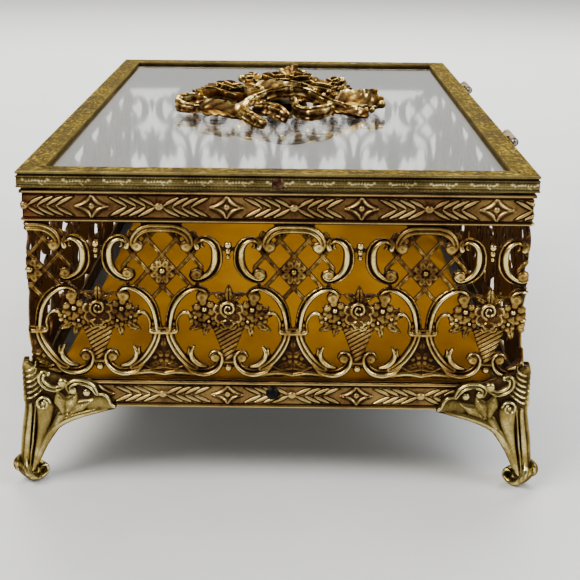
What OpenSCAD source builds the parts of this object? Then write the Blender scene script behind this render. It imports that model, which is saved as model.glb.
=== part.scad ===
// Ormolu vanity trinket box: a pierced gallery strip between two pressed bands,
// a hinged glass lid with a cast spray of roses, and four splayed corner feet.
// Frame: origin on the resting plane under the middle of the box, +Z up.
// The long sides run along Y. The lid opens on the -X side and hinges on the +X side.

/* [Lid] */
// Width of the lid, front to back (X)
lid_w = 115; // [96:1:150]
// Length of the lid, end to end (Y)
lid_l = 188.4; // [150:1:240]
// Height of the lid's edge band, with its flange
lid_h = 3.8; // [3.4:0.1:6]
// Width of the lid's top flange
flange_w = 5.6; // [4.8:0.1:9]
// Thickness of the lid's pressed sheet
lid_sheet = 0.6; // [0.5:0.05:0.8]
// Height of the lip that the glass seats against, flange included
lip_h = 1.25; // [1:0.05:1.5]
// Thickness of the lid glass
glass_t = 2; // [1.5:0.1:2]
// Gap between the lid's edge and the rim when the lid is shut
lid_gap = 0.7; // [0.4:0.1:1.5]

/* [Case] */
// Step from the lid's edge in to the case's outer face
case_inset = 0.45; // [0.2:0.05:1]
// Height of the rim band
rim_h = 7; // [6:0.1:10]
// Height of the gallery that shows between the two bands
gallery_h = 37.9; // [33:0.1:50]
// Height of the base band
base_h = 6.3; // [5.5:0.1:9]
// Height of the base band's lower edge above the table
leg_h = 18.5; // [16:0.5:26]
// Thickness of the bands' sheet, bead lines not counted
band_sheet = 0.65; // [0.5:0.05:0.8]
// How far the bead lines stand out from the bands
bead_out = 0.15; // [0.1:0.05:0.3]
// Height of each bead line
bead_h = 0.6; // [0.4:0.1:1]
// Thickness of the pierced gallery sheet
gallery_sheet = 0.6; // [0.5:0.05:1]
// How far the gallery tucks behind each band
gallery_tuck = 1.2; // [0.8:0.1:2]
// Number of basket repeats round the whole gallery
repeats = 20; // [16:1:24]
// Distance from the strip's seam corner to its first basket
first_basket = 15.25; // [0:0.05:30]
// Width of the rim's inward ledge
ledge_w = 3; // [2.5:0.1:6]

/* [Floor] */
// Thickness of the floor plate
floor_t = 0.8; // [0.6:0.1:1.5]
// Width of the base band's flange under the floor plate
floor_flange_w = 4; // [3:0.1:8]
// Thickness of the padded lining
pad_t = 8.1; // [4:0.1:12]
// Gap between the pad's edge and the gallery
pad_gap = 0.8; // [0.5:0.1:3]

/* [Feet] */
// Thickness of the feet's pressed sheet over the base band
foot_sheet = 0.65; // [0.5:0.05:1]
// Length of each foot wing along the band
wing_l = 19.5; // [14:0.5:26]
// Height of the foot's peak above the base band's lower edge
peak_h = 11.6; // [8:0.1:16]
// Width of the leg at the ankle
ankle_w = 3.4; // [2.8:0.1:5]
// Radius of the rolled toe
toe_r = 2.4; // [2:0.1:3]
// Length of the rolled toe
toe_l = 4.8; // [4:0.1:6]
// Radius of the two lobes on the heel
lobe_r = 1.9; // [1.5:0.1:2.2]

/* [Hinges] */
// Distance from the middle of the box to each hinge
hinge_y = 43; // [25:1:60]
// Length of each hinge's knuckles together
hinge_l = 12; // [10:0.5:20]
// Length of the lid's knuckle in the middle of each hinge
lid_knuckle_l = 4.6; // [3:0.1:7]
// Radius of the knuckles
knuckle_r = 1.1; // [1:0.05:1.3]
// Radius of the hinge pins
pin_r = 0.55; // [0.4:0.05:0.6]
// Distance from the lid's edge out to the pins' axis
pin_out = 1.7; // [1.6:0.05:2.2]
// Distance from the lid's top down to the pins' axis
pin_down = 1.3; // [1.1:0.05:1.8]
// Thickness of the hinge leaves
leaf_t = 0.7; // [0.5:0.05:0.8]

/* [Fixings] */
// Radius of the base band screws' heads
band_screw_head_r = 1.55; // [1.2:0.05:2]
// Radius of the base band screws' threads
band_screw_r = 0.8; // [0.6:0.05:0.9]
// Distance of the base band screws from the box's middle line
band_screw_x = -0.85; // [-5:0.05:5]
// Radius of the foot screws' heads
foot_screw_head_r = 1.7; // [1.4:0.05:2]
// Radius of the foot screws' threads
foot_screw_r = 1; // [0.8:0.05:1.1]
// Distance of the foot screws in from both case faces
foot_screw_in = 5.5; // [5:0.1:6.5]
// Radius of the lid rivets' heads
lid_rivet_head_r = 1.35; // [1:0.05:1.5]
// Radius of the lid rivets' shanks
lid_rivet_r = 0.6; // [0.4:0.05:0.7]
// Radius of the hinge rivets' heads
hinge_rivet_head_r = 0.7; // [0.6:0.05:0.75]
// Radius of the hinge rivets' shanks
hinge_rivet_r = 0.45; // [0.3:0.05:0.5]

/* [Spray] */
// Height of the cast spray above the glass
spray_h = 12; // [9:0.5:18]
// Half of the spray's spread, front to back
spray_reach = 29.5; // [24:0.5:34]
// Radius of the spray's stud
stud_r = 1.5; // [1.2:0.1:2]
// Radius of the washer under the glass
washer_r = 4; // [3.5:0.1:6]
// Thickness of the washer
washer_t = 0.8; // [0.5:0.1:1.2]
// Width of the nut across its flats
nut_af = 5.5; // [5:0.1:7]
// Thickness of the nut
nut_t = 2.4; // [2:0.1:3]

/* [Fits] */
// Running clearance on radius between pin and lid knuckle
run_clear = 0.05; // [0.02:0.01:0.1]
// Clearance on radius round screws and rivets
screw_clear = 0.1; // [0.05:0.01:0.2]
// Gap between the knuckles along the pin
knuckle_gap = 0.2; // [0.1:0.05:0.4]
// Gap between a leaf and what it passes
leaf_gap = 0.35; // [0.3:0.05:0.5]
// Gap round plates that drop into a frame
drop_gap = 0.2; // [0.1:0.05:0.4]

/* [Hidden] */
$fn = 48;
eps = 0.01;

// heights, from the table up
base_z = leg_h;
gallery_z = base_z + base_h;
rim_z = gallery_z + gallery_h;
rim_top = rim_z + rim_h;
lid_z = rim_top + lid_gap;
lid_top = lid_z + lid_h;
glass_top = lid_top - lip_h;
glass_z = glass_top - glass_t;
floor_z = base_z + bead_h;
pad_z = floor_z + floor_t;

// outer faces, as half sizes
case_x = lid_w / 2 - case_inset;
case_y = lid_l / 2 - case_inset;
lid_x = lid_w / 2;
lid_y = lid_l / 2;

// depths in from the case's outer face
plate_in = bead_out;
gallery_in = plate_in + band_sheet;
gallery_back_in = gallery_in + gallery_sheet;

// the strip's pitch round the case
pitch = 4 * (case_x + case_y) / repeats;

// hinge axis
pin_x = lid_x + pin_out;
pin_z = lid_top - pin_down;

// ---------- shared pieces ----------

// One side of a mitred frame. The section's first number is the depth in from
// the outer face, its second the height. side 0 is the right end (-Y), then
// the back (+X), the left end (+Y) and the front (-X).
module mitred_side(half_x, half_y, side, section) {
    along = side % 2 == 0 ? half_x : half_y;
    across = side % 2 == 0 ? half_y : half_x;
    depth = max([for (p = section) p[0]]) + 1;
    top = max([for (p = section) p[1]]) + 1;
    rotate([0, 0, 90 * side])
        intersection() {
            translate([-along, -across, 0])
                rotate([90, 0, 90])
                    linear_extrude(2 * along) polygon(section);
            linear_extrude(top)
                polygon([
                    [-along, -across], [along, -across],
                    [along - depth, depth - across], [depth - along, depth - across]
                ]);
        }
}

module mitred_frame(half_x, half_y, section) {
    for (side = [0:3]) mitred_side(half_x, half_y, side, section);
}

// A dome-headed fixing along +X: the head's underside is at x = 0
module dome_fixing(head_r, head_h, shank_r, shank_l) {
    dome_r = (head_r * head_r + head_h * head_h) / (2 * head_h);
    rotate([0, 90, 0])
        rotate_extrude()
            union() {
                intersection() {
                    translate([0, head_h - dome_r]) circle(dome_r);
                    square([head_r, head_h]);
                }
                translate([0, -shank_l]) square([shank_r, shank_l + eps]);
            }
}

// ---------- bands ----------

// Wall with a bead line along both edges
function band_wall(z, h) = [
    [plate_in, z + bead_h], [0, z + bead_h], [0, z]
];

function base_section() = concat(
    band_wall(base_z, base_h),
    [
        [floor_flange_w, base_z], [floor_flange_w, floor_z], [gallery_in, floor_z],
        [gallery_in, gallery_z], [0, gallery_z],
        [0, gallery_z - bead_h], [plate_in, gallery_z - bead_h]
    ]
);

function rim_section() = concat(
    band_wall(rim_z, rim_h),
    [
        [gallery_in, rim_z], [gallery_in, rim_top - bead_h],
        [ledge_w, rim_top - bead_h], [ledge_w, rim_top], [0, rim_top],
        [0, rim_top - bead_h], [plate_in, rim_top - bead_h]
    ]
);

module base_band() {
    color("darkgoldenrod")
        difference() {
            mitred_frame(case_x, case_y, base_section());
            at_band_screws() rotate([0, 90, 0])
                cylinder(r = band_screw_r + screw_clear, h = 4, center = true);
            at_feet() translate([-foot_screw_in, -foot_screw_in, base_z - 1])
                cylinder(r = foot_screw_r + screw_clear, h = 3);
        }
}

module rim_band() {
    color("saddlebrown")
        difference() {
            mitred_frame(case_x, case_y, rim_section());
            at_lower_rivets() rotate([0, 90, 0])
                cylinder(r = hinge_rivet_r + screw_clear, h = 4, center = true);
        }
}

// ---------- gallery ----------

// Centres, radii and widths of the pierced pattern's plain outlines
wreath_z = 13.6;
wreath_r = 13;
wreath_w = 1.7;
scroll_x = 5.7;
scroll_z = 29.5;
scroll_r = 5;
scroll_w = 1.3;
flower_z = 26.5;
arch_r = 10.4;
arch_z = 27.2;
arch_w = 1.4;
bar_w = 0.7;
lattice_x = 6.6;
lattice_z = 7.4;

module ring_2d(r, w) {
    difference() {
        circle(r);
        circle(r - w);
    }
}

// Diagonal bars that fill the space under an arch
module lattice_2d() {
    slope = atan2(lattice_z, lattice_x);
    step = lattice_x * sin(slope);
    intersection() {
        translate([0, arch_z]) circle(arch_r - arch_w / 2);
        translate([0, flower_z])
            for (turn = [slope, -slope], i = [-1.5:1:1.5])
                rotate(turn) translate([0, i * step]) square([30, bar_w], center = true);
    }
}

// A basket of roses inside its wreath
module basket_2d() {
    translate([0, wreath_z])
        difference() {
            ring_2d(wreath_r, wreath_w);
            translate([-4.5, 0]) square([9, wreath_r + 1]);
        }
    for (m = [-1, 1]) {
        translate([m * 5.3, 20.4]) circle(1.6);
        translate([m * 5.9, 16.2]) circle(2.8);
        translate([m * scroll_x, scroll_z]) ring_2d(scroll_r, scroll_w);
    }
    translate([0, 17.6]) circle(3.5);
    translate([-1, 18]) square([2, 4.6]);
    translate([-wreath_r + 0.6, 15.9]) square([2 * wreath_r - 1.2, 1.2]);
    polygon([[-0.9, 5.6], [0.9, 5.6], [3.6, 13], [-3.6, 13]]);
    translate([-0.8, -gallery_tuck]) square([1.6, 8]);
    translate([-1.2, 29.8]) square([2.4, 4]);
}

// The arch, lattice and sprigged panel between two baskets
module between_2d() {
    translate([0, arch_z])
        intersection() {
            ring_2d(arch_r, arch_w);
            translate([-arch_r, 4]) square([2 * arch_r, arch_r]);
        }
    lattice_2d();
    translate([0, flower_z]) circle(3.2);
    translate([-4, arch_z + arch_r - 1]) square([8, 3]);
    translate([-3.5, 11.6]) square([7, 1.4]);
    difference() {
        translate([-pitch / 2 + 5, -gallery_tuck]) square([pitch - 10, 13.6]);
        for (m = [-1, 1])
            translate([m * pitch / 2, wreath_z]) circle(wreath_r - wreath_w / 2);
    }
}

// One flat side of the strip, drawn as seen from outside, starting at the
// distance start round the strip. The sheet is cut back by trim at both ends.
module gallery_side(start, length, trim) {
    first = floor((start - first_basket) / pitch) - 1;
    last = ceil((start + length - first_basket) / pitch) + 1;
    intersection() {
        translate([trim, -gallery_tuck]) square([length - 2 * trim, gallery_h + 2 * gallery_tuck]);
        union() {
            translate([0, gallery_h - 0.4]) square([length, gallery_tuck + 0.4]);
            translate([0, -gallery_tuck]) square([length, gallery_tuck + 0.4]);
            for (k = [first:last])
                translate([first_basket + k * pitch - start, 0]) {
                    basket_2d();
                    translate([pitch / 2, 0]) between_2d();
                }
        }
    }
}

// Stands a flat side up in its place behind the bands
module gallery(side) {
    along = side % 2 == 0 ? case_x : case_y;
    across = side % 2 == 0 ? case_y : case_x;
    start = [0, 2 * case_x, 2 * (case_x + case_y), 4 * case_x + 2 * case_y][side];
    trim = side % 2 == 0 ? gallery_in : gallery_back_in;
    color("goldenrod")
        rotate([0, 0, 90 * side])
            translate([-along, gallery_back_in - across, gallery_z])
                rotate([90, 0, 0])
                    linear_extrude(gallery_sheet) gallery_side(start, 2 * along, trim);
}

module gallery_right_end() { gallery(0); }
module gallery_back() { gallery(1); }
module gallery_left_end() { gallery(2); }
module gallery_front() { gallery(3); }

// ---------- floor ----------

tab_w = 8;
tab_t = 0.8;
tab_in = gallery_in + drop_gap;
tab_top = gallery_z - gallery_tuck - drop_gap;
band_screw_z = floor_z + floor_t + (tab_top - floor_z - floor_t) * 0.66;

module at_band_screws() {
    for (m = [-1, 1])
        translate([band_screw_x, m * (case_y - plate_in), band_screw_z])
            rotate([0, 0, m * 90]) children();
}

module floor_plate() {
    half_x = case_x - tab_in;
    half_y = case_y - tab_in;
    color("dimgray")
        difference() {
            union() {
                translate([-half_x, -half_y, floor_z]) cube([2 * half_x, 2 * half_y, floor_t]);
                for (m = [-1, 1])
                    translate([band_screw_x - tab_w / 2, m * (half_y - tab_t / 2) - tab_t / 2, floor_z])
                        cube([tab_w, tab_t, tab_top - floor_z]);
            }
            at_band_screws() rotate([0, 90, 0]) cylinder(r = band_screw_r, h = 8, center = true);
            at_feet() translate([-foot_screw_in, -foot_screw_in, floor_z - 1])
                cylinder(r = foot_screw_r, h = floor_t + 2);
        }
}

module base_band_screws() {
    color("black")
        at_band_screws()
            dome_fixing(band_screw_head_r, 0.9, band_screw_r, tab_in + tab_t - plate_in);
}

// The pad clears the floor plate's tabs as well as the gallery
module floor_pad() {
    half_x = case_x - gallery_back_in - pad_gap;
    half_y = case_y - tab_in - tab_t - pad_gap;
    corner_r = 3;
    color("darkorange")
        translate([0, 0, pad_z])
            linear_extrude(pad_t)
                union() {
                    square([2 * half_x, 2 * (half_y - corner_r)], center = true);
                    square([2 * (half_x - corner_r), 2 * half_y], center = true);
                    for (x = [-1, 1], y = [-1, 1])
                        translate([x * (half_x - corner_r), y * (half_y - corner_r)])
                            circle(corner_r);
                }
}

// ---------- feet ----------

// Places a foot drawn for the corner +X +Y, its origin at the case's corner
module at_foot(x, y) {
    mirror([x < 0 ? 1 : 0, 0, 0])
        mirror([0, y < 0 ? 1 : 0, 0])
            translate([case_x, case_y, 0]) children();
}

module at_feet() {
    for (x = [-1, 1], y = [-1, 1]) at_foot(x, y) children();
}

wing_clear = 0.02;
wing_z = base_z - 0.3;
peak_z = base_z + peak_h;
heel_z = 4;
heel_r = 3.4;
splay = 0.1;

// How far the foot's corner stands out from the case's corner at height z
function foot_out(z) =
    let (up = max(z, heel_z), under = max(heel_z - z, 0))
    wing_clear + foot_sheet + splay * max(wing_z - up, 0)
        - (heel_r - sqrt(heel_r * heel_r - under * under));

// Width of the foot's two faces at height z: the wing above, the leg below
function wing_w(z) =
    max(1.1, wing_l * pow(1 - pow((z - wing_z) / (peak_z - wing_z + 0.2), 2.3), 1.5));
function leg_w(z) =
    ankle_w + 0.3 * max(z - heel_z, 0)
        + (wing_l - ankle_w - 0.3 * (wing_z - heel_z)) * pow(max(z - 9, 0) / (wing_z - 9), 8);
function foot_w(z) = z > wing_z ? wing_w(z) : leg_w(z);
function foot_t(z) = foot_sheet + 0.06 * min(max(wing_z - z, 0), 8);

foot_levels = concat(
    [for (z = [1:1:3]) z],
    [for (i = [0:4]) heel_z + i * (9 - heel_z) / 5],
    [for (i = [0:9]) 9 + (wing_z - 9) * sin(9 * i)],
    [for (i = [0:10]) wing_z + 0.02 + (peak_z - wing_z - 0.02) * i / 10]
);

// The angle-shaped section of the foot at height z
function foot_ring(z) =
    let (e = foot_out(z), w = foot_w(z), t = foot_t(z))
    [
        [e, e, z], [e - w, e, z], [e - w, e - t, z],
        [e - t, e - t, z], [e - t, e - w, z], [e, e - w, z]
    ];

module foot_shell() {
    n = len(foot_levels);
    points = [for (z = foot_levels) each foot_ring(z)];
    sides = [
        for (i = [0:n - 2], j = [0:5])
            [6 * i + j, 6 * (i + 1) + j, 6 * (i + 1) + (j + 1) % 6, 6 * i + (j + 1) % 6]
    ];
    bottom = [for (j = [0:5]) j];
    top = [for (j = [5:-1:0]) 6 * (n - 1) + j];
    polyhedron(points, concat(sides, [bottom, top]), convexity = 6);
}

module foot() {
    toe_in = -0.25;
    lobe_out = foot_out(heel_z) + wing_clear - 0.15;
    gusset_w = foot_screw_in + 6.5;
    difference() {
        union() {
            foot_shell();
            // the toe rolls under and inwards, flattened where it stands
            translate([toe_in, toe_in, toe_r - 0.2])
                rotate([0, 0, -45]) rotate([0, 90, 0])
                    cylinder(r = toe_r, h = toe_l, center = true);
            for (swap = [0, 1])
                translate([swap ? lobe_out : -0.6, swap ? -0.6 : lobe_out, heel_z - 0.4])
                    sphere(lobe_r);
            // the gusset that takes the foot screw
            translate([0, 0, base_z - 0.6])
                linear_extrude(0.6)
                    polygon([[0.2, 0.2], [-gusset_w, 0.2], [0.2, -gusset_w]]);
        }
        translate([-foot_screw_in, -foot_screw_in, base_z - 2])
            cylinder(r = foot_screw_r + screw_clear, h = 4);
        translate([-20, -20, -10]) cube([40, 40, 10]);
    }
}

module placed_foot(x, y) { color("olive") at_foot(x, y) foot(); }
module foot_front_left() { placed_foot(-1, 1); }
module foot_front_right() { placed_foot(-1, -1); }
module foot_back_left() { placed_foot(1, 1); }
module foot_back_right() { placed_foot(1, -1); }

module foot_screws() {
    color("black")
        at_feet()
            translate([-foot_screw_in, -foot_screw_in, base_z - 0.6])
                rotate([0, 90, 0])
                    dome_fixing(foot_screw_head_r, 0.8, foot_screw_r, 0.6 + bead_h + floor_t);
}

// ---------- hinges ----------

leaf_x = case_x + 0.02;
pass_x = lid_x + leaf_gap;
leaf_z = rim_z + 0.9;
lower_rivet_z = rim_z + 3.6;
upper_plate_z = lid_z + 0.1;
upper_plate_top = pin_z - 0.9;
upper_plate_t = 0.4;
rivet_end_h = 0.3;
upper_rivet_z = (upper_plate_z + upper_plate_top) / 2;

module at_hinge(m) { translate([pin_x, m * hinge_y, pin_z]) children(); }

// A length of knuckle along the pin, centred on y
module knuckle(y, length, r) {
    translate([0, y + length / 2, 0]) rotate([90, 0, 0]) cylinder(r = r, h = length);
}

// A section in X and Z, drawn from the case's own origin, extruded along Y
module leaf_plate(points, y, width) {
    translate([-pin_x, y + width / 2, -pin_z])
        rotate([90, 0, 0]) linear_extrude(width) polygon(points);
}

module lower_leaf(m) {
    side_l = (hinge_l - lid_knuckle_l) / 2 - knuckle_gap;
    side_y = (hinge_l - side_l) / 2;
    bend_z = rim_top - 0.6;
    foot_plate = [
        [leaf_x, leaf_z], [leaf_x + leaf_t, leaf_z],
        [leaf_x + leaf_t, bend_z], [leaf_x, bend_z]
    ];
    riser = [
        [leaf_x, bend_z - eps], [leaf_x + leaf_t, bend_z - eps],
        [pass_x + leaf_t, rim_top + 0.5], [pass_x + leaf_t, pin_z],
        [pass_x, pin_z], [pass_x, rim_top + 0.5]
    ];
    color("peru")
        at_hinge(m)
            difference() {
                union() {
                    leaf_plate(foot_plate, 0, hinge_l);
                    for (s = [-1, 1]) {
                        leaf_plate(riser, s * side_y, side_l);
                        knuckle(s * side_y, side_l, knuckle_r);
                    }
                }
                knuckle(0, hinge_l + 2, pin_r);
                for (s = [-1, 1])
                    translate([0, s * hinge_l / 4, lower_rivet_z - pin_z])
                        rotate([0, 90, 0])
                            cylinder(r = hinge_rivet_r + screw_clear, h = 8, center = true);
            }
}

module upper_leaf(m) {
    plate = [
        [lid_x + 0.02, upper_plate_z], [lid_x + upper_plate_t, upper_plate_z],
        [lid_x + upper_plate_t, upper_plate_top], [pin_x, upper_plate_top],
        [pin_x, pin_z + 0.9], [lid_x + 0.02, pin_z + 0.9]
    ];
    color("peru")
        at_hinge(m)
            difference() {
                union() {
                    leaf_plate(plate, 0, lid_knuckle_l);
                    knuckle(0, lid_knuckle_l, knuckle_r);
                }
                knuckle(0, hinge_l + 2, pin_r + run_clear);
                translate([lid_x - pin_x, 0, upper_rivet_z - pin_z])
                    rotate([0, 90, 0])
                        cylinder(r = hinge_rivet_r + screw_clear, h = 2, center = true);
            }
}

// The pins have a small domed head at both ends
module hinge_pin(m) {
    head_r = 0.9;
    head_h = 0.5;
    color("silver")
        at_hinge(m) {
            knuckle(0, hinge_l, pin_r);
            for (s = [-1, 1])
                translate([0, s * (hinge_l / 2 + eps), 0]) rotate([0, 0, s * 90])
                    dome_fixing(head_r, head_h, pin_r, 1);
        }
}

module at_lower_rivets() {
    for (m = [-1, 1], s = [-1, 1])
        translate([leaf_x + leaf_t, m * hinge_y + s * hinge_l / 4, lower_rivet_z]) children();
}

module hinge_lower_rivets() {
    grip = leaf_x + leaf_t - (case_x - gallery_in);
    color("peru")
        at_lower_rivets() {
            dome_fixing(hinge_rivet_head_r, 0.4, hinge_rivet_r, grip);
            translate([-grip, 0, 0]) mirror([1, 0, 0])
                dome_fixing(hinge_rivet_head_r, rivet_end_h, hinge_rivet_r, 0.1);
        }
}

module at_upper_rivets() {
    for (m = [-1, 1]) translate([lid_x + upper_plate_t, m * hinge_y, upper_rivet_z]) children();
}

module hinge_upper_rivets() {
    grip = upper_plate_t + bead_out + lid_sheet;
    color("peru")
        at_upper_rivets() {
            dome_fixing(hinge_rivet_head_r, 0.35, hinge_rivet_r, grip);
            translate([-grip, 0, 0]) mirror([1, 0, 0])
                dome_fixing(hinge_rivet_head_r, rivet_end_h, hinge_rivet_r, 0.1);
        }
}

module hinge_lower_leaf_left() { lower_leaf(1); }
module hinge_lower_leaf_right() { lower_leaf(-1); }
module hinge_upper_leaf_left() { upper_leaf(1); }
module hinge_upper_leaf_right() { upper_leaf(-1); }
module hinge_pin_left() { hinge_pin(1); }
module hinge_pin_right() { hinge_pin(-1); }

// ---------- lid ----------

lid_wall_in = bead_out + lid_sheet;
lip_in = flange_w - 0.7;
cove_in = 0.45;
rivet_tab_t = 0.4;
rivet_tab_in = lid_wall_in + 0.05;
lid_rivet_z = lid_z + 1.4;

// Edge band with bead lines, a cove under the flange, the flange and its lip
function lid_section() = [
    [bead_out, lid_z + 0.5], [0, lid_z + 0.5], [0, lid_z], [lid_wall_in, lid_z],
    [lid_wall_in, lid_top - lid_sheet], [lip_in, lid_top - lid_sheet],
    [lip_in, glass_top], [flange_w, glass_top], [flange_w, lid_top], [0, lid_top],
    [0, lid_top - 0.5], [cove_in, lid_top - 0.8], [cove_in, lid_top - 1.1],
    [0, lid_top - 1.2], [0, lid_top - 1.5], [bead_out, lid_top - 1.5]
];

module lid_rail(side) {
    color("darkkhaki")
        difference() {
            mitred_side(lid_x, lid_y, side, lid_section());
            at_lid_rivets() rotate([0, 90, 0])
                cylinder(r = lid_rivet_r + screw_clear, h = 3, center = true);
            at_upper_rivets() rotate([0, 90, 0])
                cylinder(r = hinge_rivet_r + screw_clear, h = 3, center = true);
        }
}

module lid_rail_right_end() { lid_rail(0); }
module lid_rail_back() { lid_rail(1); }
module lid_rail_left_end() { lid_rail(2); }
module lid_rail_front() { lid_rail(3); }

module lid_glass() {
    edge_in = rivet_tab_in + rivet_tab_t + 0.3;
    color("lightcyan", 0.5)
        translate([0, 0, glass_z])
            difference() {
                linear_extrude(glass_t)
                    square([lid_w - 2 * edge_in, lid_l - 2 * edge_in], center = true);
                translate([0, 0, -1]) cylinder(r = stud_r + 0.5, h = glass_t + 2);
            }
}

// Four strips that hold the glass up, with a riveted tab at each end of the lid.
// They stand in from the lid's wall, clear of the hinge rivets' inner heads.
module glass_retainer() {
    strip_in = rivet_tab_in + rivet_end_h;
    section = [
        [strip_in, lid_z], [flange_w - 0.8, lid_z],
        [flange_w - 0.8, glass_z], [strip_in, glass_z]
    ];
    color("sienna")
        difference() {
            union() {
                mitred_frame(lid_x, lid_y, section);
                for (m = [-1, 1])
                    translate([-3, m * (lid_y - rivet_tab_in - rivet_tab_t / 2) - rivet_tab_t / 2, lid_z])
                        cube([6, rivet_tab_t, 2.6]);
            }
            at_lid_rivets() rotate([0, 90, 0])
                cylinder(r = lid_rivet_r, h = 6, center = true);
        }
}

module at_lid_rivets() {
    for (m = [-1, 1])
        translate([0, m * lid_y, lid_rivet_z]) rotate([0, 0, m * 90]) children();
}

module lid_band_rivets() {
    color("maroon")
        at_lid_rivets()
            dome_fixing(lid_rivet_head_r, 0.6, lid_rivet_r, rivet_tab_in + rivet_tab_t);
}

// ---------- spray ----------

// An open rose: a domed heart in two cupped rows of petals
module rose(r, h) {
    rotate_extrude()
        polygon([
            [0, 0], [0.55 * r, 0], [0.95 * r, 0.35 * h], [r, 0.62 * h], [0.86 * r, 0.6 * h],
            [0.66 * r, 0.48 * h], [0.68 * r, 0.86 * h], [0.52 * r, 0.84 * h],
            [0.42 * r, 0.7 * h], [0.3 * r, 0.94 * h], [0, h]
        ]);
}

// A pointed leaf along +X
module leaf(length, width, thickness) {
    half = length / 2;
    bow_r = (half * half + width * width / 4) / width;
    linear_extrude(thickness)
        translate([half, 0])
            intersection() {
                translate([0, bow_r - width / 2]) circle(bow_r);
                translate([0, width / 2 - bow_r]) circle(bow_r);
            }
}

// A standing loop of ribbon along +X
module ribbon_loop(length, r, width) {
    rotate([90, 0, 0])
        translate([0, 0, -width / 2])
            linear_extrude(width)
                union() {
                    translate([length - r, r]) ring_2d(r, 0.8);
                    square([length - r, 0.8]);
                    translate([0, 2 * r - 0.8]) square([length - r, 0.8]);
                }
}

module ornament_spray() {
    rose_h = spray_h - 1.5;
    color("sienna")
        translate([0, 0, glass_top])
            difference() {
                union() {
                    cylinder(r = 8, h = 2.2);
                    for (x = [-1, 1])
                        translate([x * 9.5, 3, 1.5]) rose(7.5, rose_h - 1.5);
                    translate([0, 7, 1.5]) rose(7, rose_h);
                    for (turn = [12, 40, 152, 172, 215, 330])
                        rotate([0, 0, turn]) translate([5, 0, 1.2])
                            rotate([0, -7, 0]) leaf(spray_reach - 5.3, 8, 0.9);
                    for (turn = [192, 318])
                        rotate([0, 0, turn]) translate([4, 0, 0])
                            ribbon_loop(turn < 200 ? spray_reach - 5.5 : 19, 3.2, 4);
                    for (turn = [250, 272])
                        rotate([0, 0, turn]) translate([4, -2, 0.3]) cube([30, 4, 0.9]);
                }
                translate([0, 0, -1]) cylinder(r = stud_r, h = 3);
            }
}

module ornament_stud() {
    foot_l = glass_t + washer_t + nut_t + 0.75;
    color("silver")
        translate([0, 0, glass_top - foot_l]) cylinder(r = stud_r, h = foot_l + 2);
}

module ornament_washer() {
    color("gold")
        translate([0, 0, glass_z - washer_t])
            difference() {
                cylinder(r = washer_r, h = washer_t);
                translate([0, 0, -1]) cylinder(r = stud_r + screw_clear, h = washer_t + 2);
            }
}

module ornament_nut() {
    color("gold")
        translate([0, 0, glass_z - washer_t - nut_t])
            difference() {
                cylinder(r = nut_af / 2 / cos(30), h = nut_t, $fn = 6);
                translate([0, 0, -1]) cylinder(r = stud_r, h = nut_t + 2);
            }
}

base_band();
gallery_front();
gallery_back();
gallery_left_end();
gallery_right_end();
rim_band();
floor_plate();
floor_pad();
foot_front_left();
foot_front_right();
foot_back_left();
foot_back_right();
foot_screws();
base_band_screws();
hinge_lower_leaf_left();
hinge_lower_leaf_right();
hinge_pin_left();
hinge_pin_right();
hinge_lower_rivets();
lid_rail_front();
lid_rail_back();
lid_rail_left_end();
lid_rail_right_end();
lid_glass();
glass_retainer();
lid_band_rivets();
hinge_upper_leaf_left();
hinge_upper_leaf_right();
hinge_upper_rivets();
ornament_spray();
ornament_stud();
ornament_washer();
ornament_nut();
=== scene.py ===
# %% [markdown]
# # An ormolu vanity box, in cells
#
# The box is gilt brass: a strip of pierced and stamped sheet goes round its four sides, between
# two pressed bands. It stands on four stamped corner feet, holds a velvet pad, and has a hinged
# lid of plate glass with a cast spray of roses on it.
#
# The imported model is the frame. It already holds every part at its real size and place, so each
# piece made here starts from the box of the part that it stands for.

# %% Load the frame
import math

import bmesh
import bpy
import numpy as np
from mathutils import Matrix, Vector


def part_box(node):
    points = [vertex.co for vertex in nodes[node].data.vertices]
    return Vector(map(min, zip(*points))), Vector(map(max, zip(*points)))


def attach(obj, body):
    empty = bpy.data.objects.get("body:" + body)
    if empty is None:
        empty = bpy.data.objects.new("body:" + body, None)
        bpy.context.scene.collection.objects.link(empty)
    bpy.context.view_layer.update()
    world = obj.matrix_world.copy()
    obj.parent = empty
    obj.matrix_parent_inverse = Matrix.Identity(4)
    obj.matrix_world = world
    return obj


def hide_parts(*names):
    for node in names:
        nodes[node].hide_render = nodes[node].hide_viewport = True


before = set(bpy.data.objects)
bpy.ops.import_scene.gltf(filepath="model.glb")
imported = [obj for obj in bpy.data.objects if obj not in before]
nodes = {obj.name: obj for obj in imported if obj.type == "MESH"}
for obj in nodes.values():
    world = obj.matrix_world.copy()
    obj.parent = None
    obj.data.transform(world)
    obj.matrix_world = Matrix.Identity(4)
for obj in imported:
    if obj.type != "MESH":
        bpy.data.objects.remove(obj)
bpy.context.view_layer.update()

MM = 0.001


def box_mm(name):
    """A part's lowest and highest corners, in millimetres."""
    low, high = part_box(name)
    return np.array(low) / MM, np.array(high) / MM


# %% [markdown]
# ## Camera, light and stage
#
# A small object is lit like this in a studio: one large soft source high on the left, a weaker
# one on the right, a broad one behind, and a low one in front that only opens the shadow under
# the box. Polished metal shows what is around it more than it shows the lamps, so the world is
# not one flat grey. It is pale above and behind the box, and darker on the viewer's side, which
# gives the relief its dark and bright edges.

# %% Camera
CAMERA_AT = (2.9, -360.0, 132.9)
LOOK_DOWN, ROLL = 17.8, 0.62
FOCAL_MM, SENSOR_MM = 77.2, 36.0

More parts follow.
